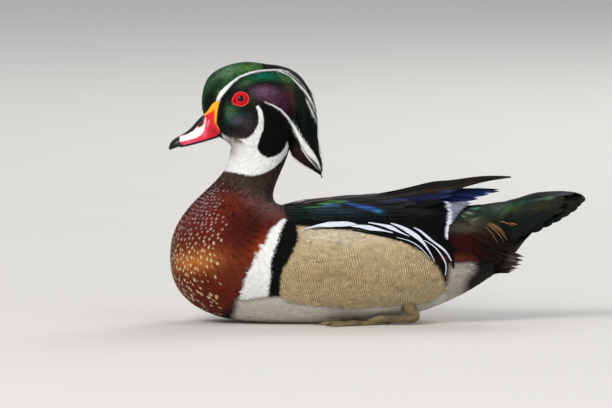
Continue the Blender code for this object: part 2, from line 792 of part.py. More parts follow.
def wing_clearance(side):
    """What a wing keeps out of: the torso beside its bed, the flank below it and the other side."""
    torso_space = body_length("clear", NECK_ENDS, LAST_STATION, BED_RINGS + 4, inset=-GAP)
    face_out(torso_space)
    boolean(torso_space, [wing_prism("own", side, 0.0)], "DIFFERENCE")
    low_edge = WING_OUTLINE[WING_LOW_EDGE]
    outline = list(low_edge) + [(low_edge[-1][0], 40.0), (low_edge[0][0], 40.0)]
    below = prism("below", outline, min(20 * side, FAR * side), max(20 * side, FAR * side))
    box = [(-FAR, 0.0), (2 * FAR, 0.0), (2 * FAR, 2 * FAR), (-FAR, 2 * FAR)]
    edges = (-side * FAR, side * GAP / 2)
    beyond = prism("beyond", box, min(edges), max(edges))
    inside = body_length("inside", 14.6, LAST_STATION, BED_RINGS, inset=WING_DEPTH)
    face_out(inside)
    return [torso_space, inside, below, beyond]


def wing(side, body):
    name = "wing_left" if side < 0 else "wing_right"
    made = bpy.data.objects.new(name, body.data.copy())
    bpy.context.scene.collection.objects.link(made)
    made.data.materials.clear()
    made.data.materials.append(FINISH["wing"])
    tree = ray_tree(made)
    boolean(made, [wing_bed(side, WING_DEPTH, 0.0)], "INTERSECT")
    boolean(made, wing_feathers(tree, side), "UNION")
    boolean(made, wing_clearance(side), "DIFFERENCE")
    keep_largest(made)
    return made


def torso():
    made = body_length("torso", NECK_ENDS, TAIL_START, 27, finish=FINISH["breast"], shave=GAP)
    face_out(made)
    return made


def flank_feathers(tree):
    draw = np.random.default_rng(3)
    pieces = []
    for side in (-1, 1):
        for root, tip, half_width in FLANK:
            pieces.append(laid(tree, side, root, tip, half_width, ROUNDED, 1.5, draw, -0.08, 1))
    return pieces


def crest_section(share):
    """Middle, half depth towards the crest's back, half width and their directions."""
    outer = np.stack([along(CREST_OUTER, share, 1), along(CREST_OUTER, share, 2)], -1)
    inner = np.stack([along(CREST_INNER, share, 1), along(CREST_INNER, share, 2)], -1)
    width = np.interp(share, *np.array(CREST_HALF_WIDTH).T)
    return (outer + inner) / 2, (outer - inner) / 2, width


def crest_points(share, turn, scale):
    """Points of the crest's own surface, drawn in towards its middle by a scale."""
    middle, half, width = crest_section(share)
    point = middle + half * (np.cos(turn) * scale)[..., None]
    return np.stack([point[..., 0], -width * np.sin(turn) * scale, point[..., 1]], -1)


def crest_core():
    share = np.linspace(0, CREST_CORE_ENDS, 9)
    turn = np.linspace(0, 2 * math.pi, 14, endpoint=False)
    thin = CREST_CORE * (1 - 0.75 * (share / CREST_CORE_ENDS) ** 3)
    rings = [crest_points(np.full(14, s), turn, np.full(14, t)) for s, t in zip(share, thin)]
    made = solid("core", *tube(np.array(rings)))
    face_out(made)
    return made


def crest_rise(share, layer):
    """How far out of the crest's middle a layer lies, as a share of its section."""
    covered = np.zeros(len(share))
    for _, _, end in CREST_LAYERS[:layer]:
        covered += 1 - np.clip((share - end + 0.06) / 0.12, 0, 1)
    sunk = 0.35 * np.clip(1 - (share - share[0]) / 0.1, 0, 1)
    return 1 - LAYER_STEP * covered - sunk


def crest():
    """The crest's core and its plumes, which lie over one another from the crown down."""
    draw = np.random.default_rng(7)
    pieces = [crest_core()]
    for layer, (turns, start, end) in enumerate(CREST_LAYERS):
        for turn in turns:
            tip = end - draw.uniform(0.0, 0.04) - 0.05 * abs(turn) / 180
            share = start + (tip - start) * np.array(PLUME_STATIONS)
            angle = np.full(len(share), math.radians(turn + draw.uniform(-2, 2)))
            rise = crest_rise(share, layer) + (0.05 if turn == 0 else 0.0)
            path = crest_points(share, angle, rise)
            inner = crest_points(share, angle, rise * 0.6)
            _, half, width = crest_section(share)
            room = math.pi * rise * (np.linalg.norm(half, axis=-1) + width) / len(turns)
            outline = np.stack([PLUME_STATIONS, PLUME_OVERLAP * room * np.array(PLUME_WIDTHS)], -1)
            roll = 0.17 * np.sign(turn)
            pieces.append(blade(path, path - inner, 1.0, outline, columns=2 if turn == 0 else 1, roll=roll))
    return pieces


def limb(name, points, radii, corners=8, finish=None):
    """A closed round tube through points, each with its own radius."""
    points = np.asarray(points, float)
    ahead = unit(np.gradient(points, axis=0))
    across = unit(np.cross(ahead, [0.0, 0.0, 1.0]))
    up = np.cross(across, ahead)
    turn = np.linspace(0, 2 * math.pi, corners, endpoint=False)[None, :, None]
    spread = across[:, None] * np.cos(turn) + up[:, None] * np.sin(turn)
    rings = points[:, None] + spread * np.asarray(radii, float)[:, None, None]
    made = solid(name, *tube(rings), finish)
    face_out(made)
    return made


def toe(base, degrees, length, radius, side):
    """A toe lying on the floor, with its claw, as joints that swell a little."""
    turn = math.radians(degrees)
    aim = np.array([-math.cos(turn), side * math.sin(turn), 0.0])
    share = np.array([0.0, 0.28, 0.42, 0.7, 0.86, 1.0])
    swell = np.array([1.0, 0.82, 1.0, 0.85, 0.62, 0.18])
    points = base + aim * (share * length)[:, None]
    radii = radius * swell
    points[:, 2] = radii
    return limb("toe", points, radii, 7), points[-2]


def web(corner_points, base):
    """The skin between two toes, hollow at its front edge."""
    first, second = (np.array(p) for p in corner_points)
    share = np.linspace(0, 1, 7)[:, None]
    front = first + (second - first) * share
    hollow = 0.16 * np.sin(math.pi * share)
    front = front + (base - front) * hollow
    rim = np.concatenate([[base], front])
    low, high = rim.copy(), rim.copy()
    low[:, 2], high[:, 2] = 0.25, 0.25 + WEB_THICKNESS
    points, faces = tube(np.array([low, high]))
    made = solid("web", points, faces)
    face_out(made)
    return made


def leg(side):
    joints = np.array(LEG_JOINTS) * [1, side, 1]
    shank = limb("shank", joints[:2] + [[0, 0, 6], [0, 0, 0]], [LEG_RADII[0] + 1.5, LEG_RADII[1]])
    tarsus = limb(
        "leg_left" if side < 0 else "leg_right",
        [joints[1] + [2.5, 0, 0.4], joints[1], (joints[1] + joints[2]) / 2, joints[2], joints[2] + [-5, 0.5, -1.6]],
        [2.4, LEG_RADII[1], 3.0, LEG_RADII[2], 2.4],
        finish=FINISH["leg"],
    )
    base = joints[2] * [1, 1, 0]
    pieces, ends = [shank], []
    for degrees, length, radius in TOES:
        made, end = toe(base, degrees, length, radius, side)
        pieces.append(made)
        ends.append(end)
    pieces.append(toe(base + [3, 0, 0], *HIND_TOE, -side)[0])
    for pair in zip(ends, ends[1:]):
        pieces.append(web(pair, base))
    boolean(tarsus, pieces, "UNION")
    body = body_length("cutter", NECK_ENDS, LAST_STATION, 48, inset=-GAP)
    face_out(body)
    boolean(tarsus, [body], "DIFFERENCE")
    keep_largest(tarsus)


def tail():
    """The rump with the tail's feathers and coverts."""
    made = body_length("tail", TAIL_START, LAST_STATION, 6, finish=FINISH["tail"], shave=GAP)
    face_out(made)
    draw = np.random.default_rng(11)
    pieces = []
    for side in (-1, 1):
        flip = np.array([1, side, 1])
        for order, ((y, z), tip) in enumerate(RECTRICES):
            start = np.array([TAIL_ROOT_X, y, z]) * flip
            end = np.array(tip) * flip
            bow = (start + end) / 2 + [0, side * 0.35 * order, RECTRIX_BOW[0] - RECTRIX_BOW[1] * order]
            lean = [0, side * (0.25 + 0.11 * order), 1]
            wide = RECTRIX_HALF_WIDTH * draw.uniform(0.97, 1.03)
            pieces.append(blade([start, bow, end], lean, wide, RECTRIX, roll=-0.05 * side, columns=1))
        for rows, bulge, lean in ((UPPER_COVERTS, 1.8, 1), (UNDER_COVERTS, -1.6, -1), (SIDE_PLUMES, 1.0, 0)):
            for start, end, half_width in rows:
                start, end = np.array(start) * flip, np.array(end) * flip
                out = unit(np.array([0.0, start[1], 14.0 * lean]))
                bow = (start + end) / 2 + bulge * abs(lean) * out * np.sign(lean or 1)
                pieces.append(blade([start, bow, end], out, half_width, SHORT, columns=1))
    boolean(made, pieces, "UNION")
    keep_largest(made)


EYE_MIDDLE = {}
FINISH = {}


def build():
    for leftover in list(bpy.data.objects):
        bpy.data.objects.remove(leftover)
    FINISH.update(
        head=material("head_green", (0.03, 0.10, 0.06), 0.4),
        neck=material("neck_brown", (0.12, 0.08, 0.07), 0.7),
        breast=material("breast_chestnut", (0.20, 0.05, 0.03), 0.7),
        bill=material("bill_red", (0.75, 0.08, 0.08), 0.35),
        dark=material("bill_black", (0.02, 0.02, 0.02), 0.4),
        eye=material("eye_red", (0.80, 0.02, 0.02), 0.1),
        wing=material("wing_black_blue", (0.02, 0.03, 0.05), 0.4),
        tail=material("tail_black", (0.02, 0.03, 0.02), 0.5),
        leg=material("leg_dull_yellow", (0.35, 0.27, 0.12), 0.6),
    )
    head()
    for side in (-1, 1):
        eye(side)
    bill_upper()
    bill_lower()
    neck = body_length("neck", HEAD_ENDS, NECK_ENDS, 9, finish=FINISH["neck"], shave=GAP)
    face_out(neck)
    body = torso()
    for side in (-1, 1):
        wing(side, body)
        leg(side)
    tail()
    flank = flank_feathers(ray_tree(body))
    boolean(body, flank, "UNION")
    boolean(body, [wing_bed(side, WING_DEPTH + GAP, GAP) for side in (-1, 1)], "DIFFERENCE")
    keep_largest(body)
    for made in bpy.context.scene.objects:
        shade(made)


build()
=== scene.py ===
"""The looks of a drake wood duck afloat: its skin, plumage and bare parts, with floor, light and camera.

The bird faces -X, its left side is -Y and the floor is Z = 0. Lengths are in millimetres until
a mesh is made. Markings are placed in the side view that side_view() gives, in its pixels.
"""

import math

import bpy
import numpy as np
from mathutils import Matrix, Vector
from mathutils.bvhtree import BVHTree


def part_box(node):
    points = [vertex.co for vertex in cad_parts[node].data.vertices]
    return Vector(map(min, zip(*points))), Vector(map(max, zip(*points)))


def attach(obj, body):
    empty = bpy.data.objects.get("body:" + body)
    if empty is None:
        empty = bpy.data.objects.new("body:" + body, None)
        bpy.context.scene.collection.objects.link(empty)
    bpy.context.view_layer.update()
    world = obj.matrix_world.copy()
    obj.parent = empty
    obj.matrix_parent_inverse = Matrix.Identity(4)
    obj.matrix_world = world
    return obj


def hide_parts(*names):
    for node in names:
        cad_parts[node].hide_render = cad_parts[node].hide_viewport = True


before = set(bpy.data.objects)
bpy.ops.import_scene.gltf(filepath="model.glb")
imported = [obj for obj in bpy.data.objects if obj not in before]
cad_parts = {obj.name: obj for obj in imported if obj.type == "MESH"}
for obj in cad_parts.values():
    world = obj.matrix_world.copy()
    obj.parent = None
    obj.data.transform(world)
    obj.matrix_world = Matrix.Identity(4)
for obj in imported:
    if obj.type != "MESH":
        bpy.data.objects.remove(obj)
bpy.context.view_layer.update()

MM = 0.001
TAU = 2 * math.pi
GOLDEN = (math.sqrt(5) - 1) / 2

# The side view: the place that it is aimed at, the pixel there, and its tilt from level
PIXELS_PER_MM = 1.2
AIM = np.array([-59.2, 0.0, 98.3])
AIM_PIXEL = (306, 204)
TILT = math.radians(4.0)
VIEW_DISTANCE = 8500.0
LENS, SENSOR = 600.0, 36.0

# The body's lines and girth, as in the solids: (station, x, z) and (station, half width, fullness)
BACK_LINE = (
    (0, -145, 174.6), (1, -145.8, 186.7), (2, -141.7, 201.7), (3, -130.8, 211.3), (4, -114.2, 216.4),
    (5.2, -95.8, 215.6), (6.5, -78.3, 209.6), (7.5, -70.8, 197.5), (9, -68.8, 172.5), (10.5, -72.9, 145),
    (12, -81.3, 123.3), (13.3, -86.3, 110), (14.5, -86.3, 101.7), (15.6, -81.7, 97.5), (17, -72.5, 97.1),
    (19, -49.2, 100.4), (21, -7.5, 102.9), (23, 40, 101.7), (25, 74.2, 95.4), (27, 104.2, 97.5),
    (29, 131.7, 101.3),
)
BELLY_LINE = (
    (0, -130.8, 153.8), (2, -125.8, 150.8), (4, -122.1, 147.5), (7, -122.1, 142.5), (9, -122.9, 137.5),
    (10.5, -125.4, 129.2), (12, -136.7, 115), (13, -149.4, 102.9), (14, -160.5, 90), (15, -168.3, 76.2),
    (16.5, -171.9, 55), (18, -167.5, 31.7), (19.5, -147.5, 11.7), (21, -107.5, 0.8), (22.5, -43.3, -1.2),
    (24, 19.2, 5), (26, 81.7, 30), (27.5, 109.2, 51.7), (29, 129.2, 77.5),
)
GIRTH = (
    (0, 8.8, 0), (1, 12.6, 0.08), (2, 16.2, 0.14), (3, 18.6, 0.18), (5, 20.8, 0.18), (7, 21.2, 0.12),
    (9, 20.4, 0.06), (10.5, 20, 0), (12, 22.5, 0), (13, 26.5, 0), (14, 32.5, 0), (15, 39, 0), (16, 45.5, 0),
    (17.5, 53.5, 0), (19, 59, 0), (21, 62.5, 0), (22, 62, 0), (23, 58.5, 0), (24, 51.5, -0.04),
    (25, 43, -0.08), (26, 34.5, -0.1), (27, 26.5, -0.1), (28, 19, -0.06), (29, 12, 0),
)
LAST_STATION = 29.0
SQUARENESS = 0.92
EYE_X, EYE_Z = -113.3, 186.7

CREST_OUTER = (
    (0, -95.8, 215.4), (0.15, -80.8, 213.4), (0.3, -65.8, 206.4), (0.42, -56.7, 194), (0.55, -51.2, 177),
    (0.7, -50, 158), (0.85, -47.6, 139), (0.95, -46.2, 128), (1, -46.4, 123.2),
)
CREST_INNER = (
    (0, -95.8, 206), (0.15, -86, 201), (0.3, -79, 190), (0.42, -76, 178), (0.55, -74, 160), (0.7, -72, 141.5),
    (0.8, -66, 135), (0.92, -54, 127.4), (1, -47.4, 122.8),
)
CREST_HALF_WIDTH = ((0, 5), (0.12, 8.5), (0.26, 12), (0.45, 12), (0.7, 9.5), (0.88, 6), (1, 2.2))

# The small feathers by station: (station, spacing, length, half width, depth of the root, lift of the tip)
COAT = (
    (0, 0.8, 1.9, 0.48, 0.45, 0.08), (1.5, 0.88, 2.8, 0.54, 0.55, 0.1), (3.5, 0.96, 4, 0.58, 0.6, 0.12),
    (8, 1.02, 5, 0.62, 0.7, 0.15), (10.5, 1.25, 6, 0.85, 0.9, 0.2), (12.5, 1.75, 8, 1.3, 1.2, 0.3),
    (15, 2.4, 10.5, 2, 1.5, 0.4), (19, 2.9, 13.5, 2.6, 1.8, 0.5), (23, 3.2, 16, 3, 1.8, 0.6),
    (26.5, 2.7, 12, 2.3, 1.6, 0.6), (29, 2.3, 9, 1.8, 1.4, 0.5),
)
# Pieces of the coat: (name, first station, last station, slot)
COAT_PIECES = (
    ("coat_face", 0.05, 3.6, "head"), ("coat_crown", 3.6, 6.6, "head"), ("coat_nape", 6.6, 10.3, "head"),
    ("coat_neck", 10.3, 14.3, "neck"), ("coat_breast", 14.3, 18.4, "breast"),
    ("coat_side", 18.4, 22, "breast"), ("coat_flank", 22, 25, "breast"), ("coat_rump", 25, 28.9, "tail"),
)


def cubic(knots, values, at):
    """Natural cubic spline through values at knots, read at the places in at.

    Values may have more axes after the first. The bends at the knots solve one linear system.
    """
    knots, values, at = (np.asarray(a, float) for a in (knots, values, at))
    step = np.diff(knots)
    shape = (-1,) + (1,) * (values.ndim - 1)
    slope = np.diff(values, axis=0) / step.reshape(shape)
    count = len(knots)
    matrix, right = np.eye(count), np.zeros(values.shape)
    for i in range(1, count - 1):
        matrix[i, i - 1 : i + 2] = step[i - 1], 2 * (step[i - 1] + step[i]), step[i]
        right[i] = 6 * (slope[i] - slope[i - 1])
    bend = np.linalg.solve(matrix, right.reshape(count, -1)).reshape(values.shape)
    i = np.clip(np.searchsorted(knots, at) - 1, 0, count - 2)
    extra = (...,) + (None,) * (values.ndim - 1)
    a, b, h = (knots[i + 1] - at)[extra], (at - knots[i])[extra], step[i][extra]
    return (
        (bend[i] * a**3 + bend[i + 1] * b**3) / (6 * h)
        + (values[i] / h - bend[i] * h / 6) * a
        + (values[i + 1] / h - bend[i + 1] * h / 6) * b
    )


def along(rows, station, column):
    """One column of a table of stations, as a smooth function of the station."""
    rows = np.array(rows)
    return cubic(rows[:, 0], rows[:, column], station)


def read(rows, at, column=1):
    """One column of a table, straight between its rows."""
    rows = np.array(rows)
    return np.interp(at, rows[:, 0], rows[:, column])


def smooth_line(rows, at):
    """Places (x, z) on the smooth line through a table of (station, x, z)."""
    return np.stack([along(rows, at, 1), along(rows, at, 2)], -1)


def even(count):
    """Shares from 0 to 1 in even steps."""
    return np.linspace(0, 1, count)


def from_zero(steps):
    """Running sums of steps along the last axis, with the 0 that they start from."""
    return np.concatenate([np.zeros(steps.shape[:-1] + (1,)), steps.cumsum(axis=-1)], axis=-1)


def run_of(points):
    """How far along its path each point lies, for paths (..., points, axes)."""
    return from_zero(np.linalg.norm(np.diff(points, axis=-2), axis=-1))


def eased(count, power):
    """Shares from 0 to 1 that lie closer towards 1: one minus an even share to a power."""
    return 1 - (1 - even(count)) ** power


def turns(count):
    """Angles in even steps once round."""
    return np.linspace(0, TAU, count, endpoint=False)


def unit(vectors):
    """Vectors over their lengths."""
    return vectors / np.maximum(np.linalg.norm(vectors, axis=-1, keepdims=True), 1e-9)


# Soft hills and hollows of the head's sides, for cheek, eye and lore: (height, x, z, radius)
SWELLINGS = ((1.6, -110, 166, 13), (-1.3, EYE_X, EYE_Z, 10), (-1.4, -130, 180, 9))


def swelling(x, z):
    """How far the head's sides stand out: heights times e to minus the squared distance over the radius."""
    hills = [
        height * np.exp(-((x - at_x) ** 2 + (z - at_z) ** 2) / radius**2)
        for height, at_x, at_z, radius in SWELLINGS
    ]
    return sum(hills)


def body_surface(station, angle, inset=0.0):
    """Points of the body's surface: angle 0 is the back, pi the belly, and -Y comes first.

    A section is a superellipse in the plane through its back point and its belly point.
    """
    station, angle = np.broadcast_arrays(np.asarray(station, float), np.asarray(angle, float))
    back, belly = smooth_line(BACK_LINE, station), smooth_line(BELLY_LINE, station)
    half = (back - belly) / 2
    height = np.linalg.norm(half, axis=-1)
    up = half / height[..., None]
    width, fullness = along(GIRTH, station, 1) - inset, along(GIRTH, station, 2)
    across = np.sign(np.sin(angle)) * np.abs(np.sin(angle)) ** SQUARENESS
    side = across * width * (1 - fullness * np.cos(angle))
    middle = (back + belly) / 2 + up * ((height - inset) * np.cos(angle))[..., None]
    x, z = middle[..., 0], np.maximum(middle[..., 1], 0.0)
    side = side + np.sign(side) * swelling(x, z) * np.abs(across)
    return np.stack([x, -side, z], -1)


def body_frame(station, angle):
    """Points, outward normals, and how fast a point moves as its station and its angle grow."""
    step = 1e-3
    by_station = body_surface(station + step, angle) - body_surface(station - step, angle)
    by_angle = body_surface(station, angle + step) - body_surface(station, angle - step)
    by_station, by_angle = by_station / (2 * step), by_angle / (2 * step)
    return body_surface(station, angle), unit(np.cross(by_angle, by_station)), by_station, by_angle


def crest_surface(share, turn, scale=1.0):
    """Points of the crest's surface: share runs from crown to tip, and turn 0 is its outer back edge.

    A section is an ellipse between the crest's outer line and its inner line.
    """
    share, turn, scale = np.broadcast_arrays(share, turn, scale)
    outer, inner = smooth_line(CREST_OUTER, share), smooth_line(CREST_INNER, share)
    point = (outer + inner) / 2 + (outer - inner) / 2 * (np.cos(turn) * scale)[..., None]
    width = read(CREST_HALF_WIDTH, share)
    return np.stack([point[..., 0], -width * np.sin(turn) * scale, point[..., 1]], -1)


def side_view(points):
    """Pixels (u, v) of points in the side view. Both sides of the bird give the same."""
    away = points - AIM
    rise = away[..., 2] * math.cos(TILT) - np.abs(away[..., 1]) * math.sin(TILT)
    return AIM_PIXEL[0] + PIXELS_PER_MM * away[..., 0], AIM_PIXEL[1] - PIXELS_PER_MM * rise


# Meshes


def sheet_faces(rows, columns, around=False, closed=False):
    """Quads of a grid of points, joined across its columns if around is true, and its rows if closed is."""
    ends = rows if closed else rows - 1, columns if around else columns - 1
    i, j = np.meshgrid(np.arange(ends[0]), np.arange(ends[1]), indexing="ij")
    n, k = (i + 1) % rows, (j + 1) % columns
    quads = [i * columns + j, i * columns + k, n * columns + k, n * columns + j]
    return np.stack(quads, -1).reshape(-1, 4)


def fill_mesh(mesh, points, quads, triangles):
    """Puts arrays of points and faces into a mesh."""
    corners = np.concatenate([quads.ravel(), triangles.ravel()]).astype(np.int32)
    counts = np.repeat([4, 3], [len(quads), len(triangles)])
    mesh.vertices.add(len(points))
    mesh.vertices.foreach_set("co", (points * MM).astype(np.float32).ravel())
    mesh.loops.add(len(corners))
    mesh.loops.foreach_set("vertex_index", corners)
    mesh.polygons.add(len(counts))
    mesh.polygons.foreach_set("loop_start", (np.cumsum(counts) - counts).astype(np.int32))
    mesh.update(calc_edges=True)
    return corners


def linked(name, data):
    """A new object of the scene."""
    made = bpy.data.objects.new(name, data)
    bpy.context.scene.collection.objects.link(made)
    return made


NO_TRIANGLES = np.zeros((0, 3), int)


def piece(name, shape, material, colours=None, masks=None, maps=None, sharp=None):
    """A mesh object of the bird, from points in millimetres, quads and triangles, riding on its one body.

    Colours are (r, g, b, gloss) by point. Masks and maps are named numbers and named UVs by point.
    """
    points, quads, triangles = shape
    mesh = bpy.data.meshes.new(name)
    corners = fill_mesh(mesh, points.reshape(-1, 3), quads, triangles)
    layers = [] if colours is None else [("mark", "FLOAT_COLOR", "color", colours)]
    layers += [(key, "FLOAT", "value", values) for key, values in (masks or {}).items()]
    for key, kind, field, values in layers:
        layer = mesh.attributes.new(key, kind, "POINT")
        layer.data.foreach_set(field, values.astype(np.float32).ravel())
    for key, values in (maps or {}).items():
        layer = mesh.uv_layers.new(name=key)
        layer.data.foreach_set("uv", values.reshape(-1, 2)[corners].astype(np.float32).ravel())
    mesh.shade_smooth()
    if sharp:
        mesh.set_sharp_from_angle(angle=math.radians(sharp))
    mesh.materials.append(material)
    made = linked(name, mesh)
    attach(made, "root")
    return made


def join(parts):
    """Several (points, quads, triangles) as one."""
    points, quads, triangles, start = [], [], [], 0
    for part_points, part_quads, part_triangles in parts:
        points.append(part_points.reshape(-1, 3))
        quads.append(part_quads.reshape(-1, 4) + start)
        triangles.append(part_triangles.reshape(-1, 3) + start)
        start += len(points[-1])
    return np.concatenate(points), np.concatenate(quads), np.concatenate(triangles)


def tube(rings):
    """Points and faces of a closed body through rings of equal count, its ends brought to their middles."""
    rows, columns = rings.shape[:2]
    points = np.concatenate([rings.reshape(-1, 3), rings[[0, -1]].mean(axis=1)])
    j = np.arange(columns)
    k = (j + 1) % columns
    base, middle = (rows - 1) * columns, rows * columns
    start = np.stack([np.full(columns, middle), k, j], -1)
    end = np.stack([np.full(columns, middle + 1), base + j, base + k], -1)
    return turned_out(points, sheet_faces(rows, columns, around=True), np.concatenate([start, end]))


def turned_out(points, quads, triangles):
    """Faces turned round where the closed shape's volume is negative."""
    split = np.concatenate([quads[:, [0, 1, 2]], quads[:, [0, 2, 3]], triangles])
    if np.linalg.det(points[split] - points.mean(axis=0)).sum() < 0:
        return points, quads[:, ::-1], triangles[:, ::-1]
    return points, quads, triangles


# Colours


def tone(red, green, blue, gloss=0.0):
    """A colour given on the screen's scale of 255, as linear light, with the share of metal gloss in it."""
    value = np.array([red, green, blue]) / 255.0
    return np.append(np.where(value < 0.04045, value / 12.92, ((value + 0.055) / 1.055) ** 2.4), gloss)


def from_edges(u, v, low, high, start, edge):
    """Of the pixels in a box: which they are, where, their distances from edges, and the share along each."""
    near = np.nonzero((u > low[0]) & (u < high[0]) & (v > low[1]) & (v < high[1]))
    at = np.stack([u[near], v[near]], -1)[:, None]
    share = np.clip(((at - start) * edge).sum(-1) / (edge**2).sum(-1), 0, 1)
    return near, at, np.linalg.norm(at - start - share[..., None] * edge, axis=-1), share


def area(u, v, outline, soft):
    """1 inside a closed outline and 0 outside, passing a half on the line over a band of soft pixels."""
    start = np.array(outline, float)
    end = np.roll(start, -1, axis=0)
    edge = end - start
    low, high = start.min(axis=0) - soft, start.max(axis=0) + soft
    near, at, away, _ = from_edges(u, v, low, high, start, edge)
    level = (start[:, 1] > at[..., 1]) != (end[:, 1] > at[..., 1])
    rise = np.where(edge[:, 1] == 0, 1.0, edge[:, 1])
    crossed = level & (at[..., 0] < edge[:, 0] * (at[..., 1] - start[:, 1]) / rise + start[:, 0])
    within, away = crossed.sum(axis=1) % 2 == 1, away.min(axis=1)
    mask = np.zeros(u.shape)
    mask[near] = np.clip(0.5 + np.where(within, away, -away) / soft, 0, 1)
    return mask


def line(u, v, route, soft):
    """1 within half a width of a line of (u, v, width), falling to 0 over a band of soft pixels."""
    route = np.array(route, float)
    start, edge = route[:-1, :2], np.diff(route[:, :2], axis=0)
    reach = route[:, 2].max() + soft
    low, high = route[:, :2].min(axis=0) - reach, route[:, :2].max(axis=0) + reach
    near, _, away, share = from_edges(u, v, low, high, start, edge)
    half = (route[:-1, 2] + share * np.diff(route[:, 2])) / 2
    mask = np.zeros(u.shape)
    mask[near] = np.clip(0.5 + (half - away).max(axis=1) / soft, 0, 1)
    return mask


def glow(u, v, place, soft):
    """A soft oval spot: (u, v, reach along, reach across, and its turn in degrees where it has one).

    It is e to minus the squared distance, as a share of the reach, raised to the softness.
    """
    at_u, at_v, reach_a, reach_b, *turn = place
    turn = math.radians(sum(turn))
    cos, sin = math.cos(turn), math.sin(turn)
    a = ((u - at_u) * cos + (v - at_v) * sin) / reach_a
    b = ((v - at_v) * cos - (u - at_u) * sin) / reach_b
    return np.exp(-np.minimum(a**2 + b**2, 30.0) ** soft)


def ground(colour, u, v):
    """The mark that gives a whole piece its first colour: a spot far wider than the piece."""
    return glow, colour, 1, 2, (u, v, 900, 900)


def paint(points, marks, jitter=(0.0, 0.0)):
    """Lays marks over one another on points. Each mark is (shape, colour, strength, soft, places)."""
    u, v = side_view(points)
    jitter = np.asarray(jitter)
    u, v = u + jitter[..., 0], v + jitter[..., 1]
    colours = np.zeros(u.shape + (4,))
    for shape, colour, strength, soft, places in marks:
        mask = (strength * shape(u, v, places, soft))[..., None]
        colours = colours * (1 - mask) + tone(*colour) * mask
    return colours


# The markings, in pixels of the side view. Colours are (red, green, blue, gloss).

WHITE = (246, 246, 244)
BLACK = (9, 9, 11, 0.1)
CROWN = (
    (203, 116), (201, 104), (203, 92), (208, 78), (216, 69), (228, 63), (240, 58), (258, 57), (264, 66),
    (262, 71), (250, 73.5), (240, 77), (233, 81.5), (227, 87), (221, 93), (215, 101), (207, 111),
)
CAP = (
    (259, 56), (275, 60), (290, 63), (304, 74), (314, 90), (326, 116), (326, 180), (316, 118), (311, 106),
    (305, 92), (297, 81), (285, 73), (275, 70.5), (264, 71),
)
UNDER_BROW = ((246, 78), (262, 73.5), (280, 72.5), (290, 76), (297, 83), (285, 82), (265, 80.5), (255, 82))
WEDGE = (
    (261, 102), (272, 107), (281, 114), (290, 127), (296, 140), (291, 152), (284, 152), (279, 156),
    (270, 159), (262, 156), (258, 151), (256, 146), (262, 135), (265, 120), (262, 108),
)
CHEEK_BAR = (
    (256, 107), (259, 106), (262.3, 111), (264, 120), (263.2, 130), (260, 138), (257, 147), (246, 145),
    (240, 139.3), (246, 139), (250, 137), (254, 133), (257.3, 127), (259, 121), (258.3, 113),
)
THROAT = (
    (221.5, 133), (228, 136.6), (236, 139.2), (246, 139.5), (256, 143), (258, 150.5), (262, 155), (268, 158),
    (275, 156.5), (281, 153), (285, 148), (286.8, 141.5), (288.6, 146), (287, 153), (282, 160.5), (274, 168),
    (266, 172.5), (258, 175), (252, 176), (244, 174.5), (236, 173), (224, 171), (222, 164), (226, 157),
    (228, 148), (224, 141),
)
HEAD = (
    (190, 150), (190, 50), (335, 50), (335, 185), (305, 182), (290, 160), (284, 164), (268, 172), (255, 176),
    (245, 176), (236, 172), (224, 168), (216, 150),
)
# Edges that two outlines share: before, between and behind the breast's two bars, and the flank's upper edge
BAR_FRONT = ((249, 271), (254, 260), (260, 250), (266, 240), (271, 229))
BAR_MIDDLE = ((284, 224), (280, 233), (277, 243), (274, 252), (271, 262), (271, 275), (268, 296))
BAR_BACK = ((297, 243), (293, 252), (289, 260), (284, 268), (281, 276), (280, 296))
FLANK_EDGE = (
    (296, 225.5), (312, 227), (330, 228), (352, 229.5), (368, 232.5), (385, 236), (400, 240.5), (412, 246),
    (422, 252), (431, 260),
)
CHESTNUT = (
    (206, 196), (222, 191), (236, 191), (250, 197), (264, 205), (274, 210), (284, 212), (287, 216),
    (283, 219), *BAR_FRONT[:0:-1], (249, 272), (240, 300), (200, 330), (160, 330), (150, 240),
)
BREAST_BAR = ((283, 218.5), (287, 219.5), *BAR_MIDDLE, (238, 300), *BAR_FRONT)
BLACK_BAR = (
    (287, 219.5), (291, 218), (296, 221), (297.5, 230), (298.5, 237), *BAR_BACK, *BAR_MIDDLE[::-1],
)
FLANK = (
    *FLANK_EDGE, (440, 272), (446, 290), (430, 302), (350, 308), (290, 302), *BAR_BACK[::-1], (299, 237),
)
FLANK_TOP = (
    (296, 221), (330, 219), (390, 219), (427, 224), (449, 236), (456, 254), (453, 266), (446, 290),
    (440, 270), *FLANK_EDGE[::-1],
)
BURGUNDY = (
    (447, 236), (468, 233), (484, 234), (493, 241), (494, 250), (489, 260), (470, 264), (452, 263),
    (456, 250),
)
BELLY = (
    (238, 300), (280, 296), (290, 302), (350, 308), (430, 302), (446, 290), (450, 264), (474, 262),
    (478, 272), (470, 330), (230, 335),
)

BARE_EYE = (
    (231.5, 104), (234, 96), (238, 92), (243, 91), (248.5, 94), (249.6, 99), (248, 104), (242, 106.4),
    (237, 106),
)
BARE_BILL = (
    (150, 122), (200, 118), (204.7, 114.4), (215.4, 103), (219.7, 101.2), (219.8, 105), (218.4, 109),
    (217.3, 115), (216.6, 120), (216.8, 124), (218.8, 128), (220.8, 132.4), (150, 160),
)
UNDER_WING = ((300, 190), (330, 205), (445, 200), (440, 232), (425, 222), (390, 217), (310, 218), (300, 212))
BARS_NEAR = ((262, 210), (300, 212), (306, 240), (296, 262), (284, 300), (228, 300), (240, 268), (256, 238))
FLANK_EDGE_NEAR = ((392, 226), (420, 232), (456, 244), (460, 290), (436, 290), (424, 256), (404, 242))

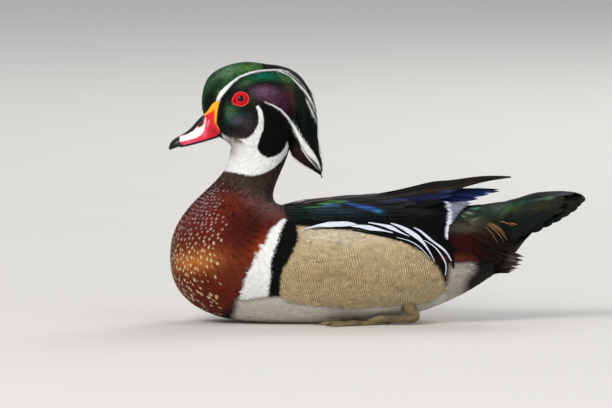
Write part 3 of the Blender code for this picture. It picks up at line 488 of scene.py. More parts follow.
BODY_MARKS = (
    (glow, (46, 42, 34, 0.2), 1, 2, (380, 190, 150, 30)),
    (glow, (34, 38, 30, 0.3), 1, 2, (475, 215, 40, 22)),
    (area, BLACK, 1, 4, ((284, 205), (340, 200), (450, 196), (452, 236), (400, 224), (300, 224), (284, 216))),
    (area, (22, 30, 26, 0.3), 0.9, 6, ((284, 204), (345, 202), (350, 222), (296, 221))),
    (area, (60, 50, 42), 1, 8, (
        (216, 184), (224, 168), (252, 174), (282, 160), (292, 172), (286, 204), (262, 198), (245, 190),
        (228, 184),
    )),
    (area, (104, 36, 22, 0.15), 1, 9, CHESTNUT),
    (glow, (66, 19, 16, 0.15), 0.85, 2, (250, 230, 24, 20)),
    (glow, (96, 50, 48, 0.1), 0.8, 1, (206, 206, 34, 8, -48)),
    (glow, (112, 78, 76, 0.1), 0.85, 1, (262, 204, 24, 9, 28)),
    (glow, (150, 58, 22, 0.15), 0.85, 1, (262, 247, 17, 9, -58)),
    (glow, (196, 118, 56, 0.1), 0.9, 1, (196, 261, 26, 10, -6)),
    (glow, (84, 76, 70, 0.1), 0.6, 2, (171, 250, 5, 34)),
    (area, (212, 205, 196), 1, 6, BELLY),
    (area, (205, 184, 144), 1, 2, FLANK),
    (glow, (206, 192, 168), 0.75, 2, (340, 236, 46, 9, 4)),
    (glow, (170, 136, 90), 0.4, 1, (330, 275, 60, 10)),
    (area, BLACK, 1, 1.5, FLANK_TOP),
    (area, BLACK, 1, 1.2, BLACK_BAR),
    (area, WHITE, 1, 1.2, BREAST_BAR),
    (glow, (84, 76, 62, 0.1), 0.85, 1, (464, 228, 22, 5, 4)),
    (area, (50, 10, 12, 0.1), 1, 4, BURGUNDY),
    (glow, (112, 54, 34), 0.6, 1, (460, 258, 16, 4)),
    (area, (186, 178, 170), 1, 5, ((449, 265), (472, 263), (476, 272), (470, 300), (446, 300))),
    (line, (40, 32, 28), 0.5, 2, ((455, 268, 0.6), (468, 266, 1.4), (480, 268, 1))),
    (area, (24, 22, 20, 0.1), 1, 9, (
        (492, 232), (530, 215), (560, 215), (530, 260), (500, 295), (462, 296), (466, 280), (477, 266),
        (488, 260), (494, 250),
    )),
)
HEAD_MARKS = (
    (area, (13, 20, 16, 0.3), 1, 2, HEAD),
    (area, (40, 84, 50, 0.55), 1, 3, CROWN),
    # Painted highlight: a pale green gleam on the crown
    (glow, (122, 160, 128, 0.5), 0.55, 1, (227, 72, 13, 5, -35)),
    (glow, (92, 138, 56, 0.5), 0.8, 1, (246, 68, 11, 3.6, -10)),
    (glow, (24, 44, 30, 0.5), 0.8, 2, (218, 84, 9, 4.5, -45)),
    (glow, (14, 14, 12, 0.2), 0.95, 2, (209, 101, 6.5, 13, 25)),
    (area, (6, 8, 14, 0.15), 1, 3, CAP),
    (glow, (34, 66, 36, 0.6), 0.9, 1, (288, 83, 13, 5, 32)),
    (glow, (64, 98, 66, 0.5), 0.8, 1, (246, 83, 10, 4, -25)),
    (area, (26, 84, 52, 0.6), 0.95, 4, UNDER_BROW),
    (glow, (4, 104, 88, 0.6), 0.95, 1, (264, 75.8, 9, 3, 2)),
    (glow, (66, 84, 42, 0.5), 0.7, 1, (285, 80, 7, 3.5, 25)),
    (glow, (76, 48, 68, 0.5), 1, 2, (271, 96, 19, 10, 8)),
    # Painted highlight: a pale lilac gleam on the purple behind the eye
    (glow, (128, 92, 118, 0.4), 0.7, 1, (262, 92, 11, 5)),
    (glow, (84, 36, 62, 0.5), 0.7, 1, (285, 106, 8, 10)),
    (glow, (84, 54, 46, 0.4), 0.8, 1, (290, 95, 4.5, 9, -15)),
    (glow, (24, 40, 24, 0.4), 0.6, 1, (298, 100, 3.5, 14, -20)),
    (glow, (84, 54, 54, 0.3), 0.75, 1, (300, 156, 8, 9, -40)),
    (glow, (54, 56, 32, 0.3), 0.8, 1, (249, 101, 8, 5)),
    (glow, (72, 104, 72, 0.5), 0.95, 1, (230, 113, 8, 8)),
    (glow, (48, 76, 88, 0.5), 0.8, 1, (239, 119, 9, 4.5, -20)),
    (glow, (66, 54, 58, 0.4), 0.9, 1, (248, 124, 10, 9)),
    # Painted highlight: a small blue-grey gleam on the cheek
    (glow, (96, 96, 112, 0.4), 0.5, 1, (237, 121, 5, 4)),
    (glow, (44, 38, 42, 0.2), 0.8, 2, (240, 134, 16, 5, 6)),
    (glow, (14, 16, 13, 0.2), 0.9, 2, (222, 112, 4, 14)),
    (area, (8, 8, 9, 0.1), 1, 1.5, WEDGE),
    (area, WHITE, 1, 1, THROAT),
    # Painted shadow under the chin and cheeks: a grey patch on the throat, a brown-grey band and a dark line
    # along the cheek's lower edge
    (glow, (132, 126, 120), 0.65, 1, (231.5, 149, 7, 9, 15)),
    (glow, (120, 104, 88), 0.75, 1, (239, 141.5, 10, 3.4, 8)),
    (line, (74, 54, 40), 0.8, 1.2, ((222, 134, 0.6), (229, 137.6, 1), (237, 140.8, 1.2), (246, 142, 0.6))),
    (area, WHITE, 1, 0.9, CHEEK_BAR),
)
BROW = (
    (218, 102.2, 3.6), (219.2, 97.7, 3.8), (222.5, 92.8, 4.4), (227, 88.2, 3.8), (233, 82.2, 2.4),
    (240, 77.2, 1.9), (250, 73.2, 1.9), (260, 71, 1.7), (270, 70.2, 1.6), (281, 70.4, 1.5), (289, 72, 1),
)
CREST_STRIPE = (
    (278, 70.8, 1.1), (286, 73.8, 0.9), (293, 79, 1), (300, 86, 1.4), (305.5, 92.4, 2.2), (309.2, 98, 2.1),
    (312.4, 104, 1.8), (315.2, 110, 1.3), (317, 114, 0.7),
)
CREST_HAIR = ((286, 71.6, 0.5), (292, 75, 0.8), (298, 80, 0.9), (303, 85.6, 0.8), (307, 91, 0.5))
CREST_STRAND = ((306.5, 100, 0.6), (309, 105.4, 1.3), (312, 112, 1.8), (314.6, 117.4, 1.6), (316.4, 122, 0.8))
EYE_STRIPE = (
    (265, 102.4, 0.6), (273, 105.6, 1.2), (281, 110.4, 1.7), (288, 118, 2.2), (294, 127, 2.9),
    (299, 136.5, 3.8), (304, 145, 5), (308.6, 151, 6.4), (313, 156.5, 5.2), (316.4, 161, 3.4),
    (318.6, 165, 2.2), (320, 169, 1.2),
)
EYE_STRAND = (
    (300, 146, 0.6), (303.4, 151.4, 1.1), (307, 156.6, 1.4), (310.6, 161.2, 1.2), (314, 165, 0.9),
    (317, 168.4, 0.5),
)
# The white lines of the head: (route, strength and softness of the mark, how many plumes, the part of the
# route that each covers)
WHITE_ROUTES = (
    (BROW, 1, 0.8, 170, 0.08), (CREST_STRIPE, 1, 0.8, 60, 0.2), (CREST_HAIR, 0.7, 0.6, 14, 0.4),
    (CREST_STRAND, 1, 0.6, 26, 0.35), (EYE_STRIPE, 1, 0.8, 150, 0.2), (EYE_STRAND, 0.9, 0.6, 20, 0.35),
)
WHITE_LINES = tuple((line, WHITE, strength, soft, route) for route, strength, soft, _, _ in WHITE_ROUTES)
WING_MARKS = (
    ground((8, 8, 11, 0.1), 380, 215),
    (glow, (20, 34, 28, 0.4), 0.9, 2, (308, 214, 26, 10)),
    (glow, (20, 56, 66, 0.6), 0.7, 1, (330, 211, 30, 4, 4)),
    (line, (84, 160, 84, 0.4), 0.8, 1.6, ((305, 208, 0.8), (318, 206, 1.6), (328, 204, 1))),
    (line, (92, 160, 72, 0.5), 0.95, 1.4, ((320, 203.4, 0.8), (332, 201.8, 2.2), (346, 202, 1.2))),
    (line, (104, 176, 244, 0.4), 0.95, 1.3, ((321, 206, 0.8), (329, 205, 2), (338, 205.2, 1.2))),
    (line, (24, 82, 156, 0.6), 0.95, 2, ((346, 202.8, 1.6), (358, 206, 3.2), (372, 209, 4), (381, 211.5, 2))),
    (glow, (30, 130, 150, 0.6), 0.7, 1, (378, 211.5, 4, 2, 10)),
    (line, (16, 32, 84, 0.6), 0.85, 3, (
        (384, 202, 1.5), (402, 199, 2.6), (425, 198, 3), (446, 195, 3.4), (458, 192, 3),
    )),
    (area, (14, 26, 72, 0.6), 1, 1.5, (
        (440, 190), (452, 189.5), (470, 186.5), (485, 186.5), (501, 190.5), (490, 195.5), (477, 200),
        (466, 202.5), (452, 202.8), (440, 201),
    )),
    (glow, (150, 176, 220, 0.2), 0.8, 1, (487.5, 193.6, 1.6, 0.8, -20)),
    (glow, (150, 160, 196, 0.2), 0.8, 1, (478.4, 197.6, 1.6, 0.8, -30)),
    (area, (138, 140, 158, 0.05), 1, 1.2, (
        (448, 203), (456, 202.4), (472, 200.6), (474, 201.4), (464, 213), (449.5, 228),
    )),
    (line, (36, 36, 48, 0.1), 0.7, 1, ((462, 203, 0.9), (456, 211, 0.8), (450, 221, 0.6))),
    (line, (36, 36, 48, 0.1), 0.6, 1, ((468, 202.6, 0.9), (460, 211, 0.8), (451, 223, 0.6))),
    (line, (36, 36, 48, 0.1), 0.6, 1, ((455, 203.4, 0.9), (452.5, 209, 0.8), (450.5, 215, 0.6))),
    (area, (232, 236, 246), 1, 0.9, (
        (444.8, 201.5), (447.2, 201.5), (449.6, 206), (450.9, 213), (450.6, 240), (446.2, 240), (444.8, 231),
        (446.6, 220.5), (448.8, 212), (446.4, 205),
    )),
    # Painted highlights: pinkish and greyish gleams along the wing's upper edge
    (line, (112, 98, 90, 0.2), 0.8, 1.6, ((303, 203.5, 1), (318, 200.4, 1.6), (334, 198, 1))),
    (line, (96, 96, 100, 0.2), 0.6, 1.6, ((340, 197.6, 1), (356, 196, 1.6), (376, 194.8, 1))),
    (line, (22, 18, 15), 1, 3, (
        (376, 198, 2), (400, 193.6, 6), (430, 188.5, 7), (470, 181, 9), (515, 177, 8),
    )),
    (line, (58, 46, 37), 0.8, 2, (
        (392, 196.6, 1), (410, 193.8, 2), (436, 190, 2.6), (456, 187, 1.6), (480, 181.5, 0.8),
    )),
)
# The stripes of the flank's upper edge: (piece, colour, lift, route of each stripe)
FLANK_STRIPES = (
    ("flank_black", BLACK, 0.8, (
        ((312, 228.2, 0.6), (330, 227.4, 1.3), (350, 227.4, 1.8), (361, 227.4, 1)),
        ((352, 229.2, 1), (368, 231.6, 2.6), (385, 234.6, 3), (400, 239, 2.6), (410, 243, 0.8)),
        ((378, 227, 1), (394, 231.5, 3), (408, 240, 3.2), (420, 247.5, 3), (429, 258, 1)),
        ((404, 223, 2), (420, 229, 5), (437, 239, 6), (449, 250, 5), (452, 266, 2)),
    )),
    ("flank_white", (228, 233, 246), 1.5, (
        (
            (305, 228.2, 1), (313, 226.4, 2.6), (321, 225, 4.6), (334, 224.3, 5.2), (346, 224.1, 5),
            (353, 224.4, 3.8), (356, 224.7, 1),
        ),
        ((350, 225, 1.8), (362, 226.3, 4.4), (372, 228, 4.4), (381, 229.8, 3), (392, 232.4, 0.8)),
        ((368, 222.1, 0.8), (380, 224.4, 2.8), (390, 227.2, 4), (398, 231, 3), (408, 235.6, 0.6)),
        (
            (390, 222.6, 0.8), (399, 226, 3.8), (410, 231.9, 4.4), (418.5, 238, 4.2), (424.5, 245, 3),
            (429, 251.6, 1.8), (433, 259, 0.6),
        ),
        (
            (413, 227, 0.8), (418.6, 229.8, 2.2), (426.4, 236.2, 2), (436.4, 243.6, 1.8),
            (444.4, 250.2, 2.2), (449.6, 258.6, 1),
        ),
        ((423, 239, 0.5), (433.2, 245.4, 1.2), (440, 253.5, 1.3), (444.2, 262, 1.2), (443.4, 272, 0.8)),
        ((395.3, 236.3, 0.4), (407.9, 239.7, 0.9), (419.4, 246.6, 0.9), (428.4, 257, 0.5)),
    )),
)


# Feathers

ROUNDED = ((0, 0.45), (0.3, 0.82), (0.6, 1), (0.82, 0.92), (0.94, 0.62), (1, 0.12))
POINTED = ((0, 0.45), (0.3, 0.9), (0.6, 0.95), (0.8, 0.66), (0.92, 0.34), (1, 0.05))
BLUNT = ((0, 0.6), (0.4, 0.92), (0.8, 1), (0.93, 0.94), (0.98, 0.72), (1, 0.35))
SLENDER = ((0, 0.5), (0.25, 1), (0.6, 0.85), (0.85, 0.45), (1, 0.06))
MAP_SCALE = 0.02  # of the map that barbs and bars follow, for each millimetre of a vane
PATCH = 0.003  # the side of a small feather's patch on the baking map
SHAFT_WIDTH = 0.12  # of a vane's half width
EDGE_SHADE = 0.14  # how much darker a vane's edges are than its middle
PALE, PALE_SHARE = 0.5, 0.3  # a vane whose tones are all past the first varies by this share only
FLOOR_SOFTNESS = 0.04  # square millimetres: vanes that would reach through the floor bend along it
CREASE = 60.0  # degrees


def vane_faces(count, steps, columns):
    """Faces of closed vanes: arched tops, one flat strip under each, and both ends."""
    across = columns + 1
    i = np.arange(steps - 1) * across
    under = np.stack([i + columns, i, i + across, i + across + columns], -1)
    one = np.concatenate([sheet_faces(steps, across), under])
    j, end = np.arange(1, columns), (steps - 1) * across
    root, tip = np.zeros_like(j), np.full_like(j, end)
    caps = [np.stack([root, j + 1, j], -1), np.stack([tip, end + j, end + j + 1], -1)]
    start = (np.arange(count) * steps * across)[:, None, None]
    return (one[None] + start).reshape(-1, 4), (np.concatenate(caps)[None] + start).reshape(-1, 3)


def vane_points(centre, up, width, columns, camber, shaft):
    """Points of vanes about their shafts, and how far across each lies, from -1 to 1.

    A section is an arch: across by width times s, up by width times camber times (1 - s squared), with a
    ridge along the shaft.
    """
    ahead = unit(np.gradient(centre, axis=1))
    across = unit(np.cross(ahead, up))
    up = np.cross(across, ahead)
    spread = np.linspace(-1, 1, columns + 1)
    rise = camber * (1 - spread**2) + shaft * np.exp(-((spread / SHAFT_WIDTH) ** 2))
    wide, high = (width[..., None] * spread)[..., None], (width[..., None] * rise)[..., None]
    return centre[:, :, None] + across[:, :, None] * wide + up[:, :, None] * high, spread


def vane_colours(points, spread, marks, ragged, shade, draw):
    """Marks moved a little for each vane, with a brightness of its own that falls towards its edges."""
    count = len(points)
    colours = paint(points, marks, jitter=draw.normal(0, ragged, (count, 1, 1, 2)))
    bright = draw.normal(1.0, shade, (count, 1, 1, 1)) * (1 - EDGE_SHADE * np.abs(spread)[:, None] ** 2)
    pale = colours[..., :3].min(axis=-1, keepdims=True) > PALE
    colours[..., :3] *= np.where(pale, 1 + PALE_SHARE * (bright - 1), bright)
    return colours


def feathers(
    name, centre, up, width, place, marks, finish, slot, draw, columns=2, camber=0.16, shaft=0.0, patch=PATCH,
    spots=None, bars=None, ragged=0.5, shade=0.1,
):
    """One piece of many vanes. Place is each root's place on the skin's own unwrap, from 0 to 1."""
    points, spread = vane_points(centre, up, width, columns, camber, shaft)
    points[..., 2] = (points[..., 2] + np.sqrt(points[..., 2] ** 2 + FLOOR_SOFTNESS)) / 2
    run = run_of(centre)
    share = run / run[:, -1:]
    shape = points.shape[:3]
    vane = np.stack([width[..., None] * spread, np.broadcast_to(run[..., None], shape)], -1) * MAP_SCALE
    across, ahead = np.broadcast_to((spread + 1) / 2, shape), np.broadcast_to(share[..., None], shape)
    local = np.stack([across, ahead], -1)
    bake = np.clip(np.asarray(place)[:, None, None] + patch * (local - 0.5), 0.0005, 0.9995)
    colours = vane_colours(points, spread, marks, ragged, shade, draw)
    if spots is not None:
        colours = spots(points, colours, share, spread, draw)
    masks = {"bars": np.zeros(shape) if bars is None else bars(points)}
    made = (points, *vane_faces(*width.shape, columns))
    maps = {"Vane": vane, "OFBake": bake}
    return piece(name, made, finish, np.clip(colours, 0, 1), masks, maps, CREASE)


def running_area(values, places):
    """The area under values, by trapezia, from the first of evenly spaced places to each of them."""
    return from_zero((values[..., 1:] + values[..., :-1]) / 2) * (places[1] - places[0])


def scatter(first, last, spacing):
    """Stations and angles of roots set evenly over a length of the body, like the seeds of a sunflower.

    The k-th of n roots takes the station below which the share (k + 1/2) / n of all roots lies, and
    the angle below which the share frac(k times golden) of that ring's roots lies.
    """
    station, angle = np.linspace(first, last, 160), np.linspace(0, TAU, 241)
    _, _, by_station, by_angle = body_frame(station[:, None], angle[None, :])
    patch = np.linalg.norm(np.cross(by_station, by_angle), axis=-1)
    ring = running_area(patch / spacing(station[:, None], angle[None, :]) ** 2, angle)
    total = running_area(ring[:, -1], station)
    order = np.arange(int(total[-1]))
    at = np.interp((order + 0.5) / len(order) * total[-1], total, station)
    shares = even(257)
    table = np.array([np.interp(shares, row / row[-1], angle) for row in ring])
    i, s = np.divmod((at - first) / (last - first) * (len(station) - 1), 1)
    j, t = np.divmod((order * GOLDEN) % 1 * (len(shares) - 1), 1)
    i = np.minimum(i.astype(int), len(station) - 2)
    j = np.minimum(j.astype(int), len(shares) - 2)
    low = table[i, j] * (1 - t) + table[i, j + 1] * t
    high = table[i + 1, j] * (1 - t) + table[i + 1, j + 1] * t
    return at, low * (1 - s) + high * s


def lying(station, angle, length, half_width, depth, lift, turn, outline, steps):
    """Feathers that lie on the body: each shaft runs over the surface from its root towards the tail.

    Its height over the surface is the lift times the share, less the root's depth times (1 - share)^1.5.
    """
    share = eased(steps, 1.5)
    _, _, by_station, by_angle = body_frame(station, angle)
    ahead = length * np.cos(turn) / np.linalg.norm(by_station, axis=-1)
    aside = length * np.sin(turn) / np.linalg.norm(by_angle, axis=-1)
    at = np.minimum(station[:, None] + ahead[:, None] * share, LAST_STATION)
    centre, up, _, _ = body_frame(at, angle[:, None] + aside[:, None] * share)
    height = lift[:, None] * share - depth[:, None] * (1 - share) ** 1.5
    return centre + up * height[..., None], up, half_width[:, None] * read(outline, share)


def bare(points):
    """Where no small feather grows: round the eyes, on the bill's base, and under the folded wings."""
    u, v = side_view(points)
    eye, bill, wing = (area(u, v, outline, 0.1) > 0.5 for outline in (BARE_EYE, BARE_BILL, UNDER_WING))
    return eye | bill | (wing & (np.abs(points[..., 1]) > 14))


def fineness(station, angle):
    """How much smaller the feathers are where a crisp marking crosses them, as a factor."""
    u, v = side_view(body_surface(station, angle))
    return 1 - 0.45 * np.maximum(area(u, v, BARS_NEAR, 10.0), area(u, v, FLANK_EDGE_NEAR, 8.0))


# Where the breast's specks thin out, and where they turn golden: (pixel, band of pixels)
SPECKS_AHEAD, SPECKS_BELOW, SPECKS_GOLDEN = (228, 14), (176, 16), (228, 24)


def breast_spots(points, colours, share, spread, draw):
    """Pale specks near the tips of every third front breast feather, larger and more golden further down."""
    root_u, root_v = side_view(points[:, -1, 1])
    ahead = np.clip((SPECKS_AHEAD[0] - root_u) / SPECKS_AHEAD[1], 0, 1)
    below, golden = (np.clip((root_v - at) / band, 0, 1) for at, band in (SPECKS_BELOW, SPECKS_GOLDEN))
    chosen = (draw.uniform(0, 1, len(root_u)) < ahead * below) & (np.arange(len(root_u)) % 3 == 0)
    tint = tone(240, 210, 206) * (1 - golden[:, None]) + tone(255, 232, 180) * golden[:, None]
    strength = draw.uniform(0.6, 1.0, len(root_u)) * (0.7 + 0.3 * golden) * chosen
    place = np.arange(share.shape[1]) == share.shape[1] - 2
    mask = strength[:, None, None] * place[None, :, None] * (np.abs(spread) < 0.5)
    return colours * (1 - mask[..., None]) + tint[:, None, None] * mask[..., None]


def flank_bars(points):
    """How far a point lies in the finely barred flank: most along its lower, front and hind parts."""
    u, v = side_view(points)
    strong = np.maximum(np.maximum((v - 236) / 22, (312 - u) / 14), (u - 412) / 16)
    return area(u, v, FLANK, 3.0) * np.clip(strong, 0.15, 1)


def coat(name, first, last, slot, marks, finish):
    """The small feathers of one length of the body."""
    draw = np.random.default_rng(len(name) + int(first * 10))
    station, angle = scatter(first, last, lambda s, a: read(COAT, s) * fineness(s, a))
    kept = ~bare(body_surface(station, angle))
    station, angle = station[kept], angle[kept]
    size = draw.uniform(0.85, 1.15, len(station)) * fineness(station, angle)
    length, half_width, depth, lift = (read(COAT, station, k) * size for k in (2, 3, 4, 5))
    turn = draw.normal(0, 0.07, len(station))
    centre, up, width = lying(station, angle, length, half_width, depth, lift, turn, ROUNDED, 5)
    place = np.stack([angle / TAU, (station - first) / (last - first)], -1)
    spots = breast_spots if slot in ("neck", "breast") else None
    ragged, shade = (0.22, 0.24) if slot in ("head", "neck") else (0.3, 0.1)
    return feathers(
        name, centre, up, width, place, marks, finish, slot, draw, spots=spots, bars=flank_bars,
        ragged=ragged, shade=shade,
    )


# Larger feathers


def through(places, steps, curve=1.3):
    """Smooth paths through control points (count, controls, axes), closer set towards the tips."""
    run = from_zero(np.linalg.norm(np.diff(places, axis=1), axis=-1).mean(axis=0))
    share = eased(steps, curve)
    return np.moveaxis(cubic(run / run[-1], np.moveaxis(places, 0, 1), share), 0, 1), share


RAY_LENGTH = 300.0


def search_tree():
    """A tree of the left half of the body and crest, to lay things on it by rays."""
    station, angle = np.linspace(0, LAST_STATION, 150), np.linspace(0, math.pi, 60)
    share, turn = np.linspace(0, 0.985, 50), np.linspace(0, math.pi, 24)
    grids = body_surface(station[:, None], angle[None, :]), crest_surface(share[:, None], turn[None, :])
    points, quads, _ = join([(grid, sheet_faces(*grid.shape[:2]), NO_TRIANGLES) for grid in grids])
    return BVHTree.FromPolygons(points.tolist(), quads.tolist())


def struck(tree, starts, sight, facing, nearby):
    """Where rays from starts first meet the body, or else its places nearest to those nearby.

    Gives arrays of places and of normals, each normal on the side that faces.
    """
    found = []
    for start, near in zip(starts, nearby):
        hit, normal, _, _ = tree.ray_cast(start, sight)
        if hit is None:
            hit, normal, _, _ = tree.find_nearest(near)
        found.append((*hit, *(normal if normal.dot(facing) > 0 else -normal)))
    found = np.array(found)
    return found[:, :3], found[:, 3:]


def cast(tree, pixels):
    """The places and outward normals of the left side that lie at pixels (..., 2) of the side view."""
    sight = Vector((0.0, math.cos(TILT), -math.sin(TILT)))
    rise = np.array([0.0, math.sin(TILT), math.cos(TILT)])
    flat = np.asarray(pixels, float).reshape(-1, 2)
    plane = AIM + (flat[:, :1] - AIM_PIXEL[0]) / PIXELS_PER_MM * [1, 0, 0]
    plane = plane + (AIM_PIXEL[1] - flat[:, 1:]) / PIXELS_PER_MM * rise
    places = [Vector(place) for place in plane]
    starts = [place - sight * RAY_LENGTH for place in places]
    found = struck(tree, starts, sight, Vector((0, -1, 0)), places)
    shape = np.shape(pixels)[:-1] + (3,)
    return found[0].reshape(shape), found[1].reshape(shape)


def both_sides(places):
    """Left-side places (count, controls, 3), followed by their mirror images."""
    return np.concatenate([places, places * [1, -1, 1]])


def laid_vanes(tree, controls, lifts, steps):
    """Vanes over the left side through control pixels (count, controls, 2), and their mirror images."""
    points, normals = cast(tree, controls)
    points = points + normals * np.asarray(lifts)[..., None]
    centre, share = through(both_sides(points), steps)
    up, _ = through(both_sides(normals), steps)
    return centre, unit(up), share


def gathered(rows):
    """Several rows of vanes as one: their arrays, each kind joined end to end."""
    return [np.concatenate(parts) for parts in zip(*rows)]


def fan(root, tip, share):
    """Straight rows of places from roots to tips, at the shares given."""
    share = np.asarray(share)[:, None]
    return root[:, None] * (1 - share) + tip[:, None] * share


def leaning(lean, centre):
    """The same direction out all along each vane, from each left vane's own."""
    return np.broadcast_to(both_sides(unit(np.array(lean))[:, None]), centre.shape)


def big(name, centre, up, width, marks, finish, slot, draw, **options):
    """A piece of larger vanes, whose patches stand in rows and columns on the baking map."""
    order, across = np.arange(len(width)), math.ceil(math.sqrt(len(width)))
    place = (np.stack([order % across, order // across], -1) + 0.5) / across
    patch = 0.9 / across
    options = {"columns": 6, "camber": 0.14, "shaft": 0.04, "ragged": 0.15, "shade": 0.08, **options}
    return feathers(name, centre, up, width, place, marks, finish, slot, draw, patch=patch, **options)


# The skin

SKIN_DEPTH = ((0, 0.3), (3, 0.7), (10, 1), (14, 1.4), (23, 1.9), (29, 1.6))
CREST_CORE = 0.84  # of the crest's own section


def skin(marks, finish):
    """One skin under all the feathers: the body's surface drawn in by its depth, and the crest's core."""
    station = np.linspace(0, LAST_STATION, 250)[:, None]
    angle = turns(168)[None, :]
    body = tube(body_surface(station, angle, read(SKIN_DEPTH, station)))
    share = np.linspace(0.02, 0.965, 80)[:, None]
    turn = turns(48)[None, :]
    thin = CREST_CORE * np.minimum(1, 6 * (1 - share) + 0.25)
    shape = join([body, tube(crest_surface(share, turn, thin))])
    made = piece("skin", shape, finish, paint(shape[0], marks))
    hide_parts("head", "neck", "torso", "tail")


# The crest and the white plumes of the head

CREST_PLUMES = 1500
STRAY_SHARE, STRAY_LIFT = 0.2, (0.5, 2.6)  # of the plumes at the crest's tip, and their lift in millimetres


def crest(marks, finish):
    """Many narrow plumes from the crown down, each lying on those below it, and stray ones at the tip.

    Each follows the crest's surface, scaled by a rise that grows along it.
    """
    draw = np.random.default_rng(21)
    count, order = CREST_PLUMES, np.arange(CREST_PLUMES)
    start = (order + 0.5) / count * 0.84 - 0.02
    turn = order * GOLDEN % 1 * TAU + draw.normal(0, 0.03, count)
    length = draw.uniform(0.14, 0.24, count)
    run = eased(7, 1.3)
    share = np.minimum(start[:, None] + length[:, None] * run, 1.035)
    drift = turn[:, None] + draw.normal(0, 0.10, count)[:, None] * run
    rise = 0.93 + draw.uniform(0.05, 0.12, count)[:, None] * run
    stray = draw.uniform(0, 1, count) < STRAY_SHARE * np.clip(start * 2 - 0.5, 0, 1)
    centre = crest_surface(share, drift, rise)
    up = unit(centre - crest_surface(share, drift, rise * 0.6))
    centre = centre + up * ((stray * draw.uniform(*STRAY_LIFT, count))[:, None] * run**2)[..., None]
    room = read(CREST_HALF_WIDTH, start) / 12
    width = (0.55 + 0.55 * room)[:, None] * read(SLENDER, run)
    place = np.stack([turn / TAU % 1, 0.02 + 0.96 * start], -1)
    return feathers(
        "crest", centre, up, width, place, marks, finish, "head", draw, camber=0.3, ragged=0.3, shade=0.25
    )


def route_at(route, share):
    """Pixels and width along a route of (u, v, width), by its length from 0 to 1."""
    route = np.array(route, float)
    run = run_of(route[:, :2])
    return cubic(run / run[-1], route, share)


def plumes_along(route, count, reach, draw):
    """Control pixels of narrow plumes side by side along a route, each over a part of its length."""
    start = (np.arange(count) + 0.5) / count * (1 - 0.75 * reach)
    share = np.clip(start[:, None] + np.linspace(0, reach, 5), 0, 1)
    at = route_at(route, share)
    ahead = unit(route_at(route, share + 0.01)[..., :2] - route_at(route, share - 0.01)[..., :2])
    aside = np.stack([-ahead[..., 1], ahead[..., 0]], -1)
    offset = (np.arange(count) * GOLDEN % 1 * 2 - 1) * 0.4 + draw.normal(0, 0.02, count)
    return at[..., :2] + aside * (offset[:, None] * at[..., 2])[..., None], at[..., 2]


WHITE_LIFTS = (0.0, 0.45, 0.7, 0.85, 0.9)


def white_plumes(tree, marks, finish):
    """The white lines over the brow, down the crest's back and behind the eye, as narrow plumes."""
    draw = np.random.default_rng(5)
    rows = [plumes_along(route, count, reach, draw) for route, _, _, count, reach in WHITE_ROUTES]
    controls, wide = gathered(rows)
    centre, up, share = laid_vanes(tree, controls, WHITE_LIFTS, 7)
    half = np.clip(wide.mean(axis=1) * 0.16, 0.22, 0.7)
    width = np.tile(half, 2)[:, None] * read(SLENDER, share)
    return big(
        "white_plumes", centre, up, width, marks, finish, "head", draw, columns=2, camber=0.3, shaft=0.0,
        shade=0.04, ragged=0.1,
    )


# The wings

# Rows of vanes over the folded wing, hindmost first: (how many, roots from top to bottom, tips from top to
# bottom, half width, lift of root and of tip, spread of the tips in pixels)
WING_ROWS = (
    (
        20, ((392, 199), (399, 230)),
        ((446.6, 202.6), (449.6, 211), (449.4, 220), (447.8, 229), (447.2, 238)), 2.9, (0.4, 2), 0,
    ),
    (8, ((352, 203), (360, 224)), ((402, 202), (408, 227)), 3, (0.5, 1.8), 0.5),
    (8, ((320, 204), (324, 220)), ((368, 204), (370, 223)), 2.7, (0.6, 2), 0.5),
    (7, ((297, 204), (300, 218)), ((338, 204), (338, 221)), 2.5, (0.6, 2.2), 0.5),
    (6, ((284, 206), (286, 216)), ((310, 206), (312, 219)), 2.3, (0.2, 2.2), 0.5),
)
# The outermost flight feathers: the first and the last root in pixels, half widths, and tips in millimetres
PRIMARY_ROOTS = ((398, 197), (406, 224))
PRIMARY_WIDTHS = (5.2, 5.2, 5.2, 5, 4.6, 4.4, 4.2, 4, 4, 4, 4, 4, 4, 4)
PRIMARY_TIPS = (
    (101.5, 12, 109.7), (92.5, 14, 107.2), (84, 17, 103.8), (78.4, 19.2, 100.2), (75.8, 20.6, 98.6),
    (73.5, 22, 97), (71.6, 23.8, 95.4), (69.8, 25.8, 93.8), (68.2, 28, 92.3), (66.8, 30.2, 90.7),
    (65.6, 32.3, 89.2), (64.5, 34.2, 87.8), (63.5, 36, 86.4), (62.5, 38, 85),
)
# The inner flight feathers: (root from above, joints to the tip, half width, lean to the side)
TERTIALS = (
    (
        (-14, 17), ((25, 11, 107.2), (48, 9.5, 112.6), (66.6, 8, 115.2), (90, 6.2, 119.6), (111.8, 5, 120.9)),
        8.1, 0.7,
    ),
    (
        (-6, 23),
        ((20, 19, 104.2), (42, 15.5, 108.2), (58, 12.5, 111.4), (66, 11.2, 112.3), (71.5, 10.5, 112.5)), 6.6,
        0.6,
    ),
    (
        (2, 28), ((22, 24.5, 101.4), (38, 21.5, 103.8), (50, 20, 105.6), (58, 19.2, 106.4), (63, 19, 106.7)),
        6, 0.7,
    ),
    (
        (8, 33), ((24, 29.5, 98.4), (36, 27, 100.3), (45, 26, 101.4), (51, 25.4, 102.2), (55, 25, 102.6)),
        5.4, 0.8,
    ),
)
